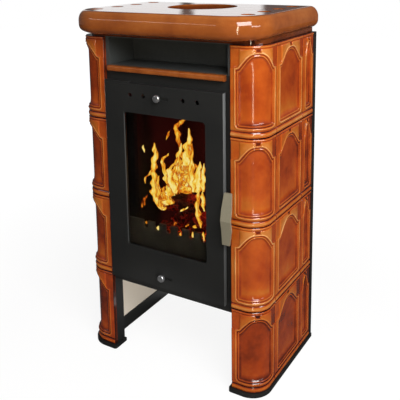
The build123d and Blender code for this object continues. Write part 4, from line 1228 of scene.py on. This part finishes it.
def choose(tree, share, first, second):
    """One of two shaders, by a share."""
    inputs = {0: share, 1: first, 2: second}
    return add(tree, "ShaderNodeMixShader", inputs).outputs[0]


def background(tree, strength):
    """White light of a strength from the world."""
    inputs = {"Color": WHITE, "Strength": strength}
    return add(tree, "ShaderNodeBackground", inputs).outputs[0]


def matt(tree, value):
    """A plain grey matt surface."""
    return add(tree, "ShaderNodeBsdfDiffuse", {"Color": grey(value)}).outputs[0]


def make_world():
    """White to the camera and behind the stove, and a dim room on the lamps' side."""
    world = bpy.data.worlds.new("studio")
    scene.world = world
    world.use_nodes = True
    tree = world.node_tree
    tree.nodes.clear()
    path = tree.nodes.new("ShaderNodeLightPath").outputs
    toward = add(tree, "ShaderNodeTexCoord").outputs["Generated"]
    behind = backdrop_share(tree, toward)
    mirrored = times(tree, path["Is Glossy Ray"], behind, between_gaps(tree, toward))
    lit, dim = background(tree, ROOM_LIGHT), background(tree, ROOM_MIRRORED)
    room = choose(tree, path["Is Glossy Ray"], lit, dim)
    shown = shown_white(tree, path, mirrored)
    sky = choose(tree, shown, room, background(tree, 1.0))
    add(tree, "ShaderNodeOutputWorld", {"Surface": sky})


def make_floor():
    """A plain pale floor that looks white to the camera and keeps a soft shadow."""
    fresh()
    bpy.ops.mesh.primitive_plane_add(size=14)
    floor = named("studio_floor")
    material = bpy.data.materials.new("studio_floor")
    material.use_nodes = True
    tree = material.node_tree
    tree.nodes.clear()
    place = object_place(tree)
    path = tree.nodes.new("ShaderNodeLightPath").outputs
    mirrored = times(tree, path["Is Glossy Ray"], backdrop_share(tree, place))
    ground = choose(tree, path["Is Glossy Ray"], matt(tree, 0.6), matt(tree, 0.12))
    reach = add(tree, "ShaderNodeVectorMath", {0: place}, operation="LENGTH")
    lift = spread(tree, reach.outputs["Value"], 0.6, 2.5, *FLOOR_GLOW)
    glow = add(tree, "ShaderNodeEmission", {"Color": WHITE, "Strength": lift}).outputs[0]
    seen = times(tree, shown_white(tree, path, mirrored), FLOOR_SHOWN)
    add(tree, "ShaderNodeOutputMaterial", {"Surface": choose(tree, seen, ground, glow)})
    floor.data.materials.append(material)


# ----- Making -----
make_camera()
make_world()
make_lights()
make_floor()

tile_walls(glaze_finish("tile_glaze", tile_thickness))
dress(glaze_finish("slab_glaze", slab_thickness, SLAB_STOPS, (0.04, 0.1)), "top_slab")
lower_belly()
dress(glaze_finish("shelf_glaze", shelf_thickness, SLAB_STOPS), "shelf_edge")
stove_paint = black_paint("black_stove_paint", colour(27, 28, 28), colour(35, 35, 34))
dress(stove_paint, "plinth_left", "plinth_right", "side_frame_left", "side_frame_right")
dress(stove_paint, "front_plate", "rear_panel", "door_plate", "hinge_brackets", "latch_lugs")
dress(stove_paint, "latch_hook", "latch_striker", "flue_spigot", "glass_retainers")
dress(stove_paint, "firebox_shell", "ash_pan", "upper_air_slide", "lower_air_slide")
# painted light: the niche's black steel is given a lighter grey than the rest of the stove paint,
# as if lit
dress(black_paint("niche_paint_with_painted_light", colour(62, 65, 65), colour(76, 79, 78)), "niche_casing")
dress(liner_board(), "liner_board_left", "liner_board_right")
dress(firebrick(), "firebrick_left", "firebrick_right", "firebrick_back", "baffle_plate")
dress(cast_iron(), "grate", "log_guard")
dress(stove_glass(), "door_glass")
dress(glass_rope(), "rope_seal")
dress(brushed_steel(), "door_handle")
dress(polished_steel(), "upper_air_knob", "lower_air_knob")
dress(zinc_steel(), "frame_screws", "retainer_screws")

firewood_stack(charred_wood())
burning = flame_look()
for tongue, (depth_y, coolness, stations) in FLAMES.items():
    flame(tongue, depth_y, coolness, stations, burning)
